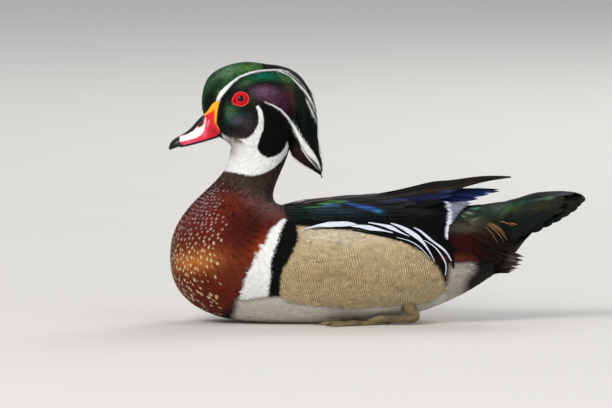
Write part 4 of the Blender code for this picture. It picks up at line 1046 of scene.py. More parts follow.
# Scapulars from the front backwards: (how many, roots from first to last and tips from first to last as
# (x, y), half width, lift of root and of tip)
SCAPULAR_ROWS = (
    (6, ((-78, 6), (-62, 24)), ((-40, 5), (-24, 16)), 4.6, (0.2, 2)),
    (6, ((-60, 8), (-42, 28)), ((-18, 5), (2, 17)), 4.8, (0.4, 3)),
    (6, ((-42, 9), (-24, 31)), ((6, 5), (30, 20)), 5, (0.4, 3.6)),
    (5, ((-20, 10), (-6, 30)), ((34, 5), (54, 20)), 5.2, (0.4, 4)),
)
ABOVE_BACK, BACK_HEIGHT = 119.0, 100.0  # between the back and the crest's tip, and about on the back


def wing_row(tree, count, roots, tips, half_width, lift, loose, draw):
    """One row of the folded wing's vanes, the upper ones over the lower."""
    root, tip = (route_at(route, even(count)) for route in (roots, tips))
    tip = tip + draw.normal(0, loose, tip.shape) * [1.4, 0.3]
    share = even(4)
    controls = fan(root, tip, share)
    over = np.clip((228 - controls[..., 1]) / 14, 0.15, 1)
    stacked = np.linspace(0.9, 0.1, count)[:, None]
    centre, up, run = laid_vanes(tree, controls, (lift[0] + (lift[1] - lift[0]) * share) * over + stacked, 14)
    return centre, up, half_width * draw.uniform(0.92, 1.08, (len(centre), 1)) * read(BLUNT, run)


def wing_vanes(tree, finish, draw):
    """The folded wing's coverts and secondaries, in rows that overlap towards the tail."""
    rows = [wing_row(tree, *row, draw) for row in WING_ROWS]
    return big("wing_coverts", *gathered(rows), WING_MARKS, finish, "wing", draw)


def on_back(tree, places, lift):
    """Places (..., 2) in x and y, dropped onto the body's left half from above, and lifted."""
    flat = [(x, -abs(y)) for x, y in np.asarray(places, float).reshape(-1, 2)]
    starts = [Vector((*place, ABOVE_BACK)) for place in flat]
    nearby = [Vector((*place, BACK_HEIGHT)) for place in flat]
    found = struck(tree, starts, Vector((0, 0, -1)), Vector((0, 0, 1)), nearby)
    points, normals = (part.reshape(np.shape(places)[:-1] + (3,)) for part in found)
    return points + normals * np.asarray(lift)[..., None], normals


def scapular_row(tree, count, roots, tips, half_width, lift, draw):
    """One row of scapulars, laid over the back from above."""
    share = even(4)
    places = fan(np.linspace(*roots, count), np.linspace(*tips, count), share)
    points, normals = on_back(tree, places, lift[0] + (lift[1] - lift[0]) * share)
    centre, run = through(both_sides(points), 9)
    up, _ = through(both_sides(normals), 9)
    return centre, unit(up), half_width * draw.uniform(0.92, 1.08, (len(centre), 1)) * read(ROUNDED, run)


def scapulars(tree, finish, draw):
    """The broad feathers that fall from the shoulders over the wings' upper edge."""
    rows = [scapular_row(tree, *row, draw) for row in SCAPULAR_ROWS]
    return big("scapulars", *gathered(rows), WING_MARKS, finish, "wing", draw)


def tertials(tree, finish, draw):
    """The long inner flight feathers, which lie over the tail's root."""
    paths = []
    for root, joints, _, _ in TERTIALS:
        start, _ = on_back(tree, [root], 0.6)
        paths.append([start[0], *(np.array(joints) * [1, -1, 1])])
    centre, run = through(both_sides(np.array(paths)), 16)
    up = leaning([[0, -row[3], 1.0] for row in TERTIALS], centre)
    width = np.tile([row[2] for row in TERTIALS], 2)[:, None] * read(POINTED, run)
    return big("tertials", centre, up, width, WING_MARKS, finish, "wing", draw, columns=8, ragged=0.0)


def primaries(tree, finish, draw):
    """The folded wing's outermost feathers, which end one behind another over the tail's root."""
    count = len(PRIMARY_TIPS)
    start, normal = cast(tree, np.linspace(*PRIMARY_ROOTS, count))
    share = np.array([0.0, 0.35, 0.7, 1.0])
    paths = fan(start + normal * 0.2, np.array(PRIMARY_TIPS) * [1, -1, 1], share)
    paths = paths + normal[:, None] * (0.5 * np.sin(math.pi * share[:, None]))
    centre, run = through(both_sides(paths), 18)
    up = leaning(np.stack([np.zeros(count), -np.linspace(1.0, 2.2, count), np.ones(count)], -1), centre)
    width = np.tile(PRIMARY_WIDTHS, 2)[:, None] * read(POINTED, run)
    return big("primaries", centre, up, width, WING_MARKS, finish, "wing", draw, ragged=0.0)


def wings(tree, finish):
    """All the vanes of the folded wings, which stand for the solid ones."""
    draw = np.random.default_rng(31)
    made = wing_vanes(tree, finish, draw)
    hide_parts("wing_left", "wing_right")
    scapulars(tree, finish, draw)
    tertials(tree, finish, draw)
    primaries(tree, finish, draw)


STRIPE_DROP = 1.4  # pixels lower for the roots, because the lift off a sloping flank raises a stripe
LEAST_SEEN = 0.45  # of a vane's width, where it is seen from its edge


def seen_across(centre, up):
    """How much of each vane's width the side view shows."""
    across = np.cross(unit(np.gradient(centre, axis=1)), unit(up))
    tilted = across[..., 2] * math.cos(TILT) - across[..., 1] * np.sign(centre[..., 1]) * math.sin(TILT)
    return np.maximum(np.hypot(across[..., 0], tilted), LEAST_SEEN)


def flank_stripes(tree, finish):
    """The long black and white feathers of the flank's upper edge, one vane to a stripe."""
    draw = np.random.default_rng(41)
    share = even(9)
    for name, colour, low, routes in FLANK_STRIPES:
        controls = np.array([route_at(route, share) for route in routes])
        points, normals = cast(tree, controls[..., :2] + [0, STRIPE_DROP])
        points = points + normals * (low + 0.9 * share)[:, None]
        centre, _ = through(both_sides(points), 24)
        up, _ = through(both_sides(normals), 24)
        wide, _ = through(np.concatenate([controls[..., 2:]] * 2), 24)
        width = np.maximum(wide[..., 0], 0.3) / 2 / PIXELS_PER_MM / seen_across(centre, up)
        marks = (ground(colour, 350, 240),)
        big(name, centre, unit(up), width, marks, finish, "breast", draw, camber=0.25, shade=0.03)


# The tail

RECTRIX_ROOT_X = 114.0
RECTRICES = (
    ((1.8, 95), (173.4, 4.2, 102.2)), ((2.8, 92.6), (170.2, 9.4, 99.6)), ((3.8, 90.1), (166.8, 14.8, 96.4)),
    ((4.8, 87.5), (161.2, 19.8, 93.2)), ((5.8, 84.8), (154.8, 24.6, 90)), ((6.8, 82), (147.4, 28.8, 86.8)),
    ((7.6, 79), (139.6, 32.2, 83.6)),
)
RECTRIX = ((0, 0.4), (0.35, 0.85), (0.7, 1), (0.86, 0.97), (0.93, 0.84), (0.975, 0.58), (1, 0.2))
# Sheets on which the tail's coverts lie: (angle of a row, its first station, its last places past the body)
UPPER_SHEET = (
    (4, 24.4, ((113, 3, 101), (137, 3.5, 107), (169, 4, 107.6))),
    (24, 24.7, ((113, 10, 97.8), (134, 11, 102.8), (158, 12.5, 104))),
    (44, 25.2, ((113, 16.5, 92), (134, 18.2, 95.4), (157, 21, 96.2))),
    (64, 26.1, ((112, 20.5, 85.4), (130, 23, 88.6), (149, 27, 91))),
    (84, 26.8, ((111, 23, 78.6), (125, 25.5, 82), (141, 29.6, 85.8))),
    (104, 27.2, ((108, 23.6, 70.2), (120, 26, 75), (134, 30.4, 80.6))),
)
UNDER_SHEET = (
    (179, 26.5, ((118, 2, 65.5), (128, 3, 73.6), (136, 4, 80.3))),
    (158, 26.6, ((113, 9.5, 61.5), (121, 11.5, 68), (128, 13, 73.6))),
    (138, 26.7, ((109, 15.5, 60.5), (115, 17.5, 64.8), (120, 19.5, 69.5))),
    (120, 26.8, ((107, 21, 64), (112, 22.4, 69), (117, 24, 74))),
)
SHEET_END = 27.35  # the last station that a sheet takes from the body
# Loose plumes at the tail's sides, from the top down: (start, end, half width)
SIDE_PLUMES = (
    ((92, 13, 79), (107, 21.5, 68), 1.5), ((94, 12, 58), (120, 19, 54.5), 1.5),
    ((90, 11, 50), (117, 16, 47), 1.5), ((88, 6, 43), (110, 9, 41.5), 1.5),
)
TAIL_MARKS = (
    ground((22, 27, 23, 0.3), 520, 210),
    (glow, (40, 60, 44, 0.5), 0.7, 1, (478, 212, 24, 7)),
    (glow, (44, 72, 52, 0.5), 0.8, 1, (512, 206, 18, 5, -14)),
    (glow, (24, 76, 70, 0.6), 0.6, 1, (524, 202, 9, 1.8, -14)),
    (glow, (62, 74, 34, 0.4), 0.6, 1, (511, 209, 7, 4, -10)),
    # Painted glints: thin silver-green gleams along the tail's top
    (glow, (96, 140, 104, 0.5), 0.8, 1, (549, 197.5, 4.5, 1.6, -8)),
    (glow, (84, 110, 112, 0.4), 0.7, 1, (538, 199.5, 8, 0.9, -10)),
    (glow, (60, 66, 84, 0.3), 0.6, 1, (562, 194.5, 10, 1.2, -2)),
    (glow, (66, 60, 44, 0.3), 0.5, 1, (540, 206, 26, 5, -12)),
    (area, (17, 14, 13), 1, 3, ((572, 186), (600, 186), (600, 214), (566, 216), (572, 204))),
    (glow, (90, 86, 72, 0.1), 0.8, 1, (464, 223, 20, 6)),
    (glow, (18, 16, 15, 0.1), 1, 2, (510, 268, 44, 36)),
    (line, (14, 13, 13, 0.1), 0.9, 3, ((545, 223, 3), (528, 233, 6), (510, 252, 8))),
    # Painted glints: pale green and whitish flecks on the rump's feather tips
    (glow, (128, 196, 168, 0.3), 0.8, 1, (474, 208.5, 5, 1, -8)),
    (glow, (190, 200, 180, 0.1), 0.7, 1, (468, 213, 3.4, 1, 10)),
    (glow, (120, 170, 116, 0.3), 0.8, 1, (460, 216, 4, 1.2, 10)),
    (glow, (150, 172, 136, 0.3), 0.6, 1, (474, 219.5, 3.2, 0.9, -25)),
    (glow, (112, 106, 88, 0.1), 0.7, 1, (457, 221.5, 4, 1, -10)),
    (glow, (70, 120, 76, 0.4), 0.5, 1, (505, 212, 6, 1.6, -40)),
)
PLUME_MARKS = (
    ground((30, 25, 22), 500, 250),
    (glow, (58, 18, 15), 0.8, 1, (486, 242, 8, 10)),
    (glow, (88, 78, 72), 0.75, 1, (514, 262, 8, 12)),
)


def tail_feathers(finish, draw):
    """The tail's long feathers, bowed up along their length and leaning out more towards the sides."""
    paths, leans = [], []
    for order, ((y, z), tip) in enumerate(RECTRICES):
        start, end = np.array([RECTRIX_ROOT_X, -y, z]), np.array(tip) * [1, -1, 1]
        bow = (start + end) / 2 + [0, -0.35 * order, 5.6 - 0.9 * order]
        paths.append([start, bow, end])
        leans.append([0, -0.6 - 0.08 * order, 1.0])
    centre, run = through(both_sides(np.array(paths)), 14)
    up = leaning(leans, centre)
    width = 8.6 * draw.uniform(0.98, 1.02, (len(centre), 1)) * read(RECTRIX, run)
    return big("tail_feathers", centre, up, width, TAIL_MARKS, finish, "tail", draw, columns=8)


def woven(grid, across, share):
    """Points of a smooth sheet through a grid of places (rows, columns, 3), and the directions out of it.

    Each place counts by the product of its row's and its column's weights, which are splines.
    """
    rows, columns = (even(count) for count in grid.shape[:2])

    def at(first, second):
        by_row = cubic(rows, np.eye(len(rows)), first)
        by_column = cubic(columns, np.eye(len(columns)), second)
        return np.einsum("...r,...c,rcx->...x", by_row, by_column, grid)

    aside = at(across + 1e-3, share) - at(across - 1e-3, share)
    ahead = at(across, share + 1e-3) - at(across, share - 1e-3)
    return at(across, share), unit(np.cross(aside, ahead))


def covert_sheet(table):
    """The grid of places on one side: three on the body from the first station, then the table's own."""
    grid = []
    for degrees, first, places in table:
        stations = np.linspace(first, SHEET_END, 4)[:3]
        point, normal, _, _ = body_frame(stations, np.full(3, math.radians(degrees)))
        rise = np.array([0.6, 1.1, 1.6])[:, None]
        grid.append(np.concatenate([point + normal * rise, np.array(places) * [1, -1, 1]]))
    return np.array(grid)


def covert_vanes(table, count, half_width, first, draw):
    """Coverts over a sheet on both sides, each with its root under those before it."""
    order, run = np.arange(count), eased(8, 1.4)
    tip = first + (1 - first) * np.minimum((order + 4.5) / count, 1)
    length = 0.24 * draw.uniform(0.9, 1.1, count)
    share = (tip - length)[:, None] + length[:, None] * run
    across = (order * GOLDEN % 1 * 0.98 + 0.01)[:, None] + draw.normal(0, 0.01, (count, 1)) * run
    centre, up = woven(covert_sheet(table), across, np.maximum(share, 0.0) + 0 * across)
    centre = centre + up * (0.9 * run - 0.7 * (1 - run) ** 2)[:, None]
    width = np.tile(half_width * draw.uniform(0.9, 1.1, count), 2)[:, None] * read(ROUNDED, run)
    return both_sides(centre), both_sides(up), width


def tail_coverts(finish, draw):
    """The coverts over and under the tail."""
    upper = covert_vanes(UPPER_SHEET, 230, 3.4, 0.15, draw)
    under = covert_vanes(UNDER_SHEET, 80, 3.0, 0.2, draw)
    return big("tail_coverts", *gathered([upper, under]), TAIL_MARKS, finish, "tail", draw, shade=0.12)


PLUMES, PLUME_TIERS, PLUME_BACK = 34, 4, 4.0  # in a tier, tiers, and millimetres that a tier steps forward
PLUME_RISE = 2.1  # millimetres that a plume's side faces up, against its distance from the middle


def plume_paths():
    """Left paths of the side plumes between their table's rows, in tiers, with their sides and widths."""
    table = np.array([[*start, *end, half] for start, end, half in SIDE_PLUMES])
    at = np.linspace(0, len(table) - 1, PLUMES)
    i = np.minimum(at.astype(int), len(table) - 2)
    share = (at - i)[:, None]
    mixed = (table[i] * (1 - share) + table[i + 1] * share) * [1, -1, 1, 1, -1, 1, 1]
    start, end, half = mixed[:, :3], mixed[:, 3:6], mixed[:, 6]
    out = unit(np.stack([0 * half, start[:, 1], 0 * half + PLUME_RISE], -1))
    rows = []
    for tier in range(PLUME_TIERS):
        shift = np.array([-PLUME_BACK * tier, 0, 0]) + out * (0.5 * tier)
        shorter = start + (end - start) * (1 - 0.12 * tier)
        path = np.stack([start, (start + shorter) / 2 + out, shorter], 1) + shift[:, None]
        rows.append((path, np.broadcast_to(out[:, None], path.shape), half * (1 - 0.08 * tier)))
    return gathered(rows)


def side_plumes(finish, draw):
    """Loose narrow plumes at the tail's sides, which turn outwards at their tips."""
    path, up, half = plume_paths()
    path, up = both_sides(path), both_sides(up)
    loose = draw.normal(0, 1.3, (len(path), 1, 3)) * np.array([[0.3], [0.6], [1.0]])
    centre, run = through(path + loose * [1.2, 0.5, 1.0], 9)
    up = np.broadcast_to(unit(up)[:, :1], centre.shape)
    width = np.tile(half, 2)[:, None] * read(SLENDER, run)
    return big("side_plumes", centre, up, width, PLUME_MARKS, finish, "tail", draw, shade=0.3, columns=4)


HAIR_MARKS = (
    ground((30, 25, 22), 500, 250),
    (glow, (104, 78, 60), 0.7, 1, (486, 226, 12, 9, 30)),
    (glow, (118, 100, 88), 0.6, 1, (512, 260, 8, 10)),
)
GOLDEN_ROUTES = (
    ((487, 224.6), (496, 230), (505, 239.5)), ((486, 226), (494, 231.5), (501, 240.5)),
    ((489, 224), (497, 228.6), (503, 234.5)), ((484, 228), (490, 234), (495, 243)),
    ((499, 222.3), (505, 224), (511, 226.3)), ((508, 223.4), (514, 224.6), (520, 226)),
)
HAIRS = 90
GOLDEN_HALF_WIDTH = 0.15


def tail_hair(tree, finish, draw):
    """Loose hair-like barbs that hang over the rump's side."""
    root = np.stack([draw.uniform(468, 492, HAIRS), draw.uniform(226, 262, HAIRS)], -1)
    reach = np.stack([draw.uniform(12, 30, HAIRS), draw.uniform(2, 14, HAIRS)], -1)
    share = even(4)
    controls = root[:, None] + reach[:, None] * share[:, None]
    controls[..., 1] += 3 * (share * (1 - share))[None] * draw.normal(0, 1, (HAIRS, 1))
    centre, up, run = laid_vanes(tree, controls, 0.4 + 2.4 * share, 8)
    width = np.tile(draw.uniform(0.16, 0.34, HAIRS), 2)[:, None] * read(SLENDER, run)
    big(
        "tail_hair", centre, up, width, HAIR_MARKS, finish, "tail", draw, columns=2, camber=0.4, shaft=0.0,
        shade=0.5, ragged=3.0,
    )


def golden_plumes(tree, finish, draw):
    """A few golden hair-like plumes that curl out over the rump."""
    share = even(5)
    pixels = np.array([route_at(route, share)[:, :2] for route in GOLDEN_ROUTES])
    centre, up, run = laid_vanes(tree, pixels, 2.6 + 1.2 * share, 12)
    width = GOLDEN_HALF_WIDTH * read(SLENDER, run) * np.ones((len(centre), 1))
    marks = (ground((255, 180, 112), 500, 250),)
    big("golden_plumes", centre, up, width, marks, finish, "tail", draw, columns=2, camber=0.3, shade=0.2)


def tail(tree, finish):
    """All the feathers and plumes of the tail."""
    draw = np.random.default_rng(51)
    tail_feathers(finish, draw)
    tail_coverts(finish, draw)
    side_plumes(finish, draw)
    tail_hair(tree, finish, draw)
    golden_plumes(tree, finish, draw)


# The bill

CULMEN = (
    (0, -144.4, 173), (0.2, -149.6, 168.2), (0.4, -155.5, 161.5), (0.6, -161.9, 156.8), (0.8, -168.2, 153),
    (0.93, -172, 149.1), (1, -173.2, 145.6),
)
UPPER_EDGE = (
    (0, -132.6, 156.4), (0.3, -141.5, 152.9), (0.6, -154, 149.6), (0.85, -166, 146.2), (1, -172.4, 144),
)
LOWER_EDGE = (
    (0, -129.5, 157.6), (0.3, -141.5, 153), (0.6, -152, 150), (0.85, -160.6, 147.8), (1, -164.6, 146.6),
)
GONYS = (
    (0, -128.6, 154.8), (0.3, -140.6, 151.1), (0.6, -151.2, 148.2), (0.85, -159.6, 146.1), (1, -164, 145.4),
)
BILL_HALF_WIDTH = ((0, 8.6), (0.25, 7.8), (0.5, 7.1), (0.75, 6.8), (0.88, 5.9), (0.96, 3.9), (1, 1.6))
LOWER_HALF_WIDTH = ((0, 6.4), (0.5, 6.2), (0.8, 5.4), (0.93, 3.6), (1, 1.4))
NOSTRIL = (-146.9, 164.4)
# The bare lobe at the bill's base: (angle down the head's front in degrees, station that it reaches)
LOBE_EDGE = (
    (34, 0.05), (42, 0.2), (50, 0.42), (60, 0.75), (68, 1.2), (72, 1.75), (75, 2.3), (77.5, 2.62), (81, 2.6),
    (86, 2.42), (96, 1.95), (108, 1.4), (118, 1.45), (126, 1.45), (133, 1.2),
)
BILL_MARKS = (
    ground((226, 12, 40), 190, 130),
    (glow, (255, 24, 34), 0.8, 1, (212, 113, 5, 6)),
    (glow, (172, 0, 36), 0.75, 1, (213.4, 132.5, 5, 3, -20)),
    (glow, (224, 84, 122), 0.9, 1, (190, 143, 10, 3.4, -18)),
    (glow, (240, 120, 150), 0.55, 1, (204.6, 133.5, 2.4, 5, 10)),
    (area, (250, 244, 242), 1, 1.2, (
        (179.6, 136.5), (186.4, 134.6), (193.6, 131), (197.1, 127), (200, 126), (204.4, 123.4), (205, 127),
        (204.2, 130.5), (201.6, 134.8), (197, 137.6), (190, 139.8), (179.6, 141.8),
    )),
    (line, (252, 236, 240), 0.9, 1, ((204.8, 124.5, 2), (205.4, 121, 1.4), (205.4, 117.6, 1))),
    # Painted highlight: a pale pink glint down the red of the bill
    (line, (255, 196, 206), 0.6, 1.2, ((209, 120.8, 1), (208.2, 124, 1.2), (207.2, 127.4, 1))),
    (area, (12, 13, 20), 1, 1, (
        (170, 128), (186, 112), (197, 100), (203.4, 113.6), (205, 117), (205, 119.4), (203.8, 121.8),
        (200.4, 123.4), (197.2, 127), (193.6, 130.6), (188, 134), (179.6, 135.8),
    )),
    (glow, (246, 156, 44), 0.9, 2, (199.5, 127.3, 2.8, 0.8, -28)),
    # Painted shade in the nostril: a dark oval over its sunk opening
    (glow, (24, 8, 6), 1, 3, (201.1, 125, 3.3, 1.2, -32)),
    (area, (255, 176, 0), 1, 0.8, (
        (203.4, 115.6), (200, 110), (215, 98), (224, 98), (221, 106), (219, 112), (218, 124), (214.8, 124),
        (214.6, 117), (215.2, 109.4), (210.5, 112.4), (205, 115.6),
    )),
    (line, (255, 120, 10), 0.9, 1, ((216.6, 122, 2.6), (218, 127, 2), (220.5, 131.4, 1.2))),
    (area, (10, 11, 16), 1, 0.9, (
        (160, 128), (179.4, 134), (180, 141.6), (181.4, 144.2), (184.6, 145.2), (184, 154), (160, 154),
    )),
)
LOWER_MARKS = (ground((12, 11, 13), 190, 140), (glow, (60, 18, 22), 0.6, 1, (208, 138, 12, 1.6, -18)))
FLAT_REACH, FLAT_RISE = 0.9, 0.12  # what the flat side spans of the half width, and curves by of the height
LOBE_START = 0.18  # stations that a lobe reaches ahead of the first one, over the bill


def bill_sections(upper_line, lower_line, width_rows, count, corners, flat_low):
    """Rings of half a bill: one side of each section is an arch and the other nearly flat.

    The arch is the width times the sine across, and the height times the cosine to 0.75.
    """
    share = eased(count, 1.35)[:, None]
    top, low = smooth_line(upper_line, share), smooth_line(lower_line, share)
    base, peak = (low, top) if flat_low else (top, low)
    width = read(width_rows, share)
    turn = np.linspace(-math.pi / 2, math.pi / 2, corners)
    arc = base + (peak - base) * (np.cos(turn) ** 0.75)[:, None]
    arch = np.stack([arc[..., 0], width * np.sin(turn), arc[..., 1]], -1)
    inner = np.linspace(FLAT_REACH, -FLAT_REACH, corners // 3)
    rise = FLAT_RISE * np.sqrt(1 - (inner / FLAT_REACH) ** 2 + 0.001)
    floor = base + (peak - base) * rise[:, None]
    flat = np.stack([floor[..., 0], width * inner, floor[..., 1]], -1)
    return np.concatenate([arch, flat], axis=1)


def bill_details(points):
    """The nostrils sunk in, the nail raised, the tip hooked down, and a shallow groove under the ridge.

    Each is e to minus the squared distance over its reach, along and across the bill's own line.
    """
    x, y, z = points[..., 0], points[..., 1], points[..., 2]
    a = (x - NOSTRIL[0]) * -0.8 + (z - NOSTRIL[1]) * -0.6
    b = (x - NOSTRIL[0]) * -0.6 + (z - NOSTRIL[1]) * 0.8
    beside = np.abs(y) > 2
    hole = np.exp(-(((a / 2.5) ** 2 + (b / 1.25) ** 2) ** 1.6)) * beside
    groove = np.exp(-(((a - 9) / 9.0) ** 2) - ((b + 1.0) / 1.3) ** 2) * beside
    nail = np.exp(-(((x + 172.5) / 4.2) ** 2) - (y / 3.6) ** 2)
    hook = np.exp(-(((x + 173.0) / 3.2) ** 2))
    side = y - np.sign(y) * (2.0 * hole + 0.28 * groove)
    return np.stack([x - 0.5 * nail, side, z + 0.35 * nail - 0.8 * hook], -1)


def lobe_patch(side):
    """The bare lobe at one side of the bill's base: a thin cushion over the head's front."""
    down = even(60)[:, None]
    angle = np.radians(np.linspace(LOBE_EDGE[0][0], LOBE_EDGE[-1][0], 60))[:, None]
    share = even(28)[None, :]
    station = -LOBE_START + share * (read(LOBE_EDGE, np.degrees(angle)) + LOBE_START)
    base, up, _, _ = body_frame(np.maximum(station, 0.0), angle)
    base = base - np.array([-0.83, 0.0, -0.56]) * (np.minimum(station, 0) * 12.0)[..., None]
    edge = np.minimum(1, 5 * (1 - share)) * np.minimum(1, 12 * (1 - np.abs(2 * down - 1)))
    high = base + up * (0.25 + 0.95 * np.sqrt(np.clip(edge, 0, 1)))[..., None]
    low = base - up * 0.5
    return tube(np.concatenate([high, low[:, ::-1]], axis=1) * [1, -side, 1])


def bill(finish):
    """Both halves of the bill, the upper one with its lobes."""
    upper = tube(bill_details(bill_sections(CULMEN, UPPER_EDGE, BILL_HALF_WIDTH, 150, 81, True)))
    shape = join([upper, lobe_patch(-1), lobe_patch(1)])
    made = piece("bill_top", shape, finish, paint(shape[0], BILL_MARKS))
    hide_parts("bill_upper")
    shape = tube(bill_sections(LOWER_EDGE, GONYS, LOWER_HALF_WIDTH, 90, 49, False))
    made = piece("bill_bottom", shape, finish, paint(shape[0], LOWER_MARKS))
    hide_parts("bill_lower")


# The eyes

EYE_RADIUS = 6.0
EYE_OUT = 0.7  # that the eyeball stands out past the solid one
PUPIL_REACH = 2.45
PUPIL_RISE = 0.9  # that the bird looks up by
LID_RADIUS = 0.85
LID_RINGS, LID_CORNERS = 160, 18
LID_CORNER = math.radians(205)  # where the ring of the lids is drawn out to its front corner
LID_MARKS = ((202, 8, 24), (252, 112, 92), (70, 10, 14))  # its inside, its outer rim, its corner


def eye_middle(node):
    """The middle of a node's box."""
    low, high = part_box(node)
    return (np.array(low) + np.array(high)) / 2 / MM


def eyeball(node, side, finish):
    """A ball of rings about its axis to the side, with the clear front a little bulged over the pupil."""
    turn = turns(64)[None, :]
    tilt = np.linspace(0.02, math.pi - 0.02, 72)[:, None]
    radius = EYE_RADIUS + 0.35 * np.exp(-((tilt / 0.55) ** 2))
    out = side * radius * np.cos(tilt) * np.ones_like(turn)
    ball = np.stack([radius * np.sin(tilt) * np.cos(turn), out, radius * np.sin(tilt) * np.sin(turn)], -1)
    made = piece(node + "_ball", tube(ball + eye_middle(node) + [0, side * EYE_OUT, 0]), finish)
    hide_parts(node)


def lid_colours(corner, outer, turn):
    """Red inside, paler on the outer rim, and dark in the corner."""
    rim = np.clip(1.4 * np.cos(turn - outer) - 0.4, 0, 1)[..., None]
    inside, edge, tip = (tone(*colour) for colour in LID_MARKS)
    colours = inside * (1 - rim) + edge * rim
    dark = (0.7 * corner**3)[:, None, None] * (1 - rim)
    return (colours * (1 - dark) + tip * dark).reshape(-1, 4)


def eyelids(tree, finish):
    """The bare red ring of the lids on both sides: a wrinkled tube round the eye, drawn out at its corner."""
    around = turns(LID_RINGS)
    from_corner = (around - LID_CORNER + math.pi) % TAU - math.pi
    corner = np.exp(-(from_corner**2) / 0.16)
    x = EYE_X + (6.0 + 0.9 * corner) * np.cos(around)
    z = EYE_Z + 0.3 + (5.35 + 0.5 * corner) * np.sin(around)
    starts = [Vector((at_x, -200, at_z)) for at_x, at_z in zip(x, z)]
    centre, up = struck(tree, starts, Vector((0, 1, 0)), Vector((0, -1, 0)), starts)
    up = unit(up)
    across = np.cross(unit(np.roll(centre, -1, axis=0) - np.roll(centre, 1, axis=0)), up)
    turn = turns(LID_CORNERS)
    wrinkle = 1 + 0.04 * np.sin(around * 34 + 2 * np.sin(around * 5))
    radius = (LID_RADIUS * (1 + 0.6 * corner) * wrinkle)[:, None, None]
    section = across[:, None] * np.cos(turn)[:, None] + up[:, None] * np.sin(turn)[:, None]
    left = (centre[:, None] + radius * section).reshape(-1, 3)
    faces = sheet_faces(LID_RINGS, LID_CORNERS, around=True, closed=True)
    shape = join([turned_out(left * [1, flip, 1], faces, NO_TRIANGLES) for flip in (1, -1)])
    outer = np.where((across * (centre - [EYE_X, 0, EYE_Z])).sum(-1) > 0, 0.0, math.pi)[:, None]
    colours = lid_colours(corner, outer, turn)
    piece("eyelids", shape, finish, np.concatenate([colours, colours]))


def eyes(tree, finish, lid_finish):
    """Both eyeballs and their lids."""
    eyeball("eye_left", -1, finish)
    eyeball("eye_right", 1, finish)
    eyelids(tree, lid_finish)


# The feet

LEG_JOINTS = ((16, 30, 24), (31, 33, 7), (-2, 37, 4.2))
LEG_RADII = (6.5, 5.6, 4.4, 3.0, 3.2, 2.4)  # at the hip, thigh, knee, shank, heel and foot
TOES = ((-24, 38, 2), (2, 50, 2.2), (27, 46, 2))
HIND_TOE = (152, 11, 1.3)
TOE_JOINTS = (0.0, 0.14, 0.28, 0.36, 0.48, 0.66, 0.78, 0.9)  # shares of a toe's length
TOE_RADII = (1.0, 0.9, 0.84, 1.02, 0.86, 0.84, 0.8, 0.5)
WEB_TOP, WEB_UNDER = 1.15, 0.25
LEAST_HEIGHT = 0.02  # over the floor


def limb(points, radii, corners=20, steps=90, scutes=1.7, ridge=0.05):
    """A tube through points with its radii, ringed by scutes: each ring swells by a ridge and drops off."""
    radii = np.asarray(radii, float)
    run, share = run_of(np.asarray(points)), even(steps)
    centre = cubic(run / run[-1], points, share)
    radius = np.interp(share * run[-1], run, radii)
    radius = radius * (1 - ridge * (share * run[-1] / scutes % 1) * (radii.max() > 1))
    ahead = unit(np.gradient(centre, axis=0))
    across = unit(np.cross(ahead, [0.0, 0.0, 1.0]))
    up = np.cross(across, ahead)
    turn = turns(corners)[None, :, None]
    spread = across[:, None] * np.cos(turn) + up[:, None] * np.sin(turn)
    rings = centre[:, None] + spread * radius[:, None, None]
    rings[..., 2] = np.maximum(rings[..., 2], LEAST_HEIGHT)
    return tube(rings)


def toe_points(base, degrees, length, radius, side):
    """The joints of a toe that lies on the floor, with their radii, and its aim."""
    turn = math.radians(degrees)
    aim = np.array([-math.cos(turn), side * math.sin(turn), 0.0])
    radii = radius * np.array(TOE_RADII)
    points = base + aim * (np.array(TOE_JOINTS) * length)[:, None]
    points[:, 2] = radii
    return points, radii, aim


def web_sheet(first, second, base, steps=24):
    """The skin between two toes as a closed thin sheet, hollow at its front edge and creased lengthwise."""
    share = even(steps)
    hollow = np.sin(math.pi * share)
    front = first + (second - first) * share[:, None]
    front = front + (base - front) * (0.16 * hollow)[:, None]
    reach = np.linspace(0.06, 1, 30)[:, None, None]
    sheet = base + (front - base)[None] * reach
    crease = 0.16 * np.cos(share * 8 * math.pi)[None] * hollow[None]
    high, low = sheet.copy(), sheet.copy()
    high[..., 2] = WEB_TOP + crease * reach[..., 0]
    low[..., 2] = WEB_UNDER
    return tube(np.concatenate([high, low[:, ::-1]], axis=1))


def foot(side, finish, claw_finish):
    """One leg tucked back under the belly, with its webbed toes laid flat on the floor."""
    hip, knee, heel = np.array(LEG_JOINTS) * [1, side, 1]
    path = [hip, (hip + knee) / 2 + [2, 0, 0], knee, (knee + heel) / 2, heel, heel + [-5, 0.5, -1.4]]
    base = heel * [1, 1, 0]
    toes = [toe_points(base, *row, side) for row in TOES]
    toes.append(toe_points(base + [3, 0, 0], *HIND_TOE, -side))
    ends = [points[-2] for points, _, _ in toes[:3]]
    parts = [limb(path, LEG_RADII, steps=140)] + [limb(points, radii) for points, radii, _ in toes]
    parts += [web_sheet(first, second, base) for first, second in zip(ends, ends[1:])]
    name = "left" if side < 0 else "right"
    made = piece("foot_" + name, join(parts), finish)
    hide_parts("leg_" + name)
    piece("claws_" + name, join([claw(*toe) for toe in toes]), claw_finish)


def claw(points, radii, aim):
    """A claw at a toe's end: a cone that curves down from the last joint to the floor."""
    share = even(14)
    reach = np.linalg.norm(points[-1] - points[0]) * 0.13
    centre = points[-1] + aim * ((share - 0.2) * reach)[:, None]
    centre[:, 2] = radii[-1] * (1.1 + 0.5 * np.sin(share * 2.2)) * (1 - 0.75 * share**2) + 0.1
    thick = radii[-1] * (0.95 - 0.8 * share)
    return limb(centre, thick, corners=14, steps=24, ridge=0.0)


# Finishes


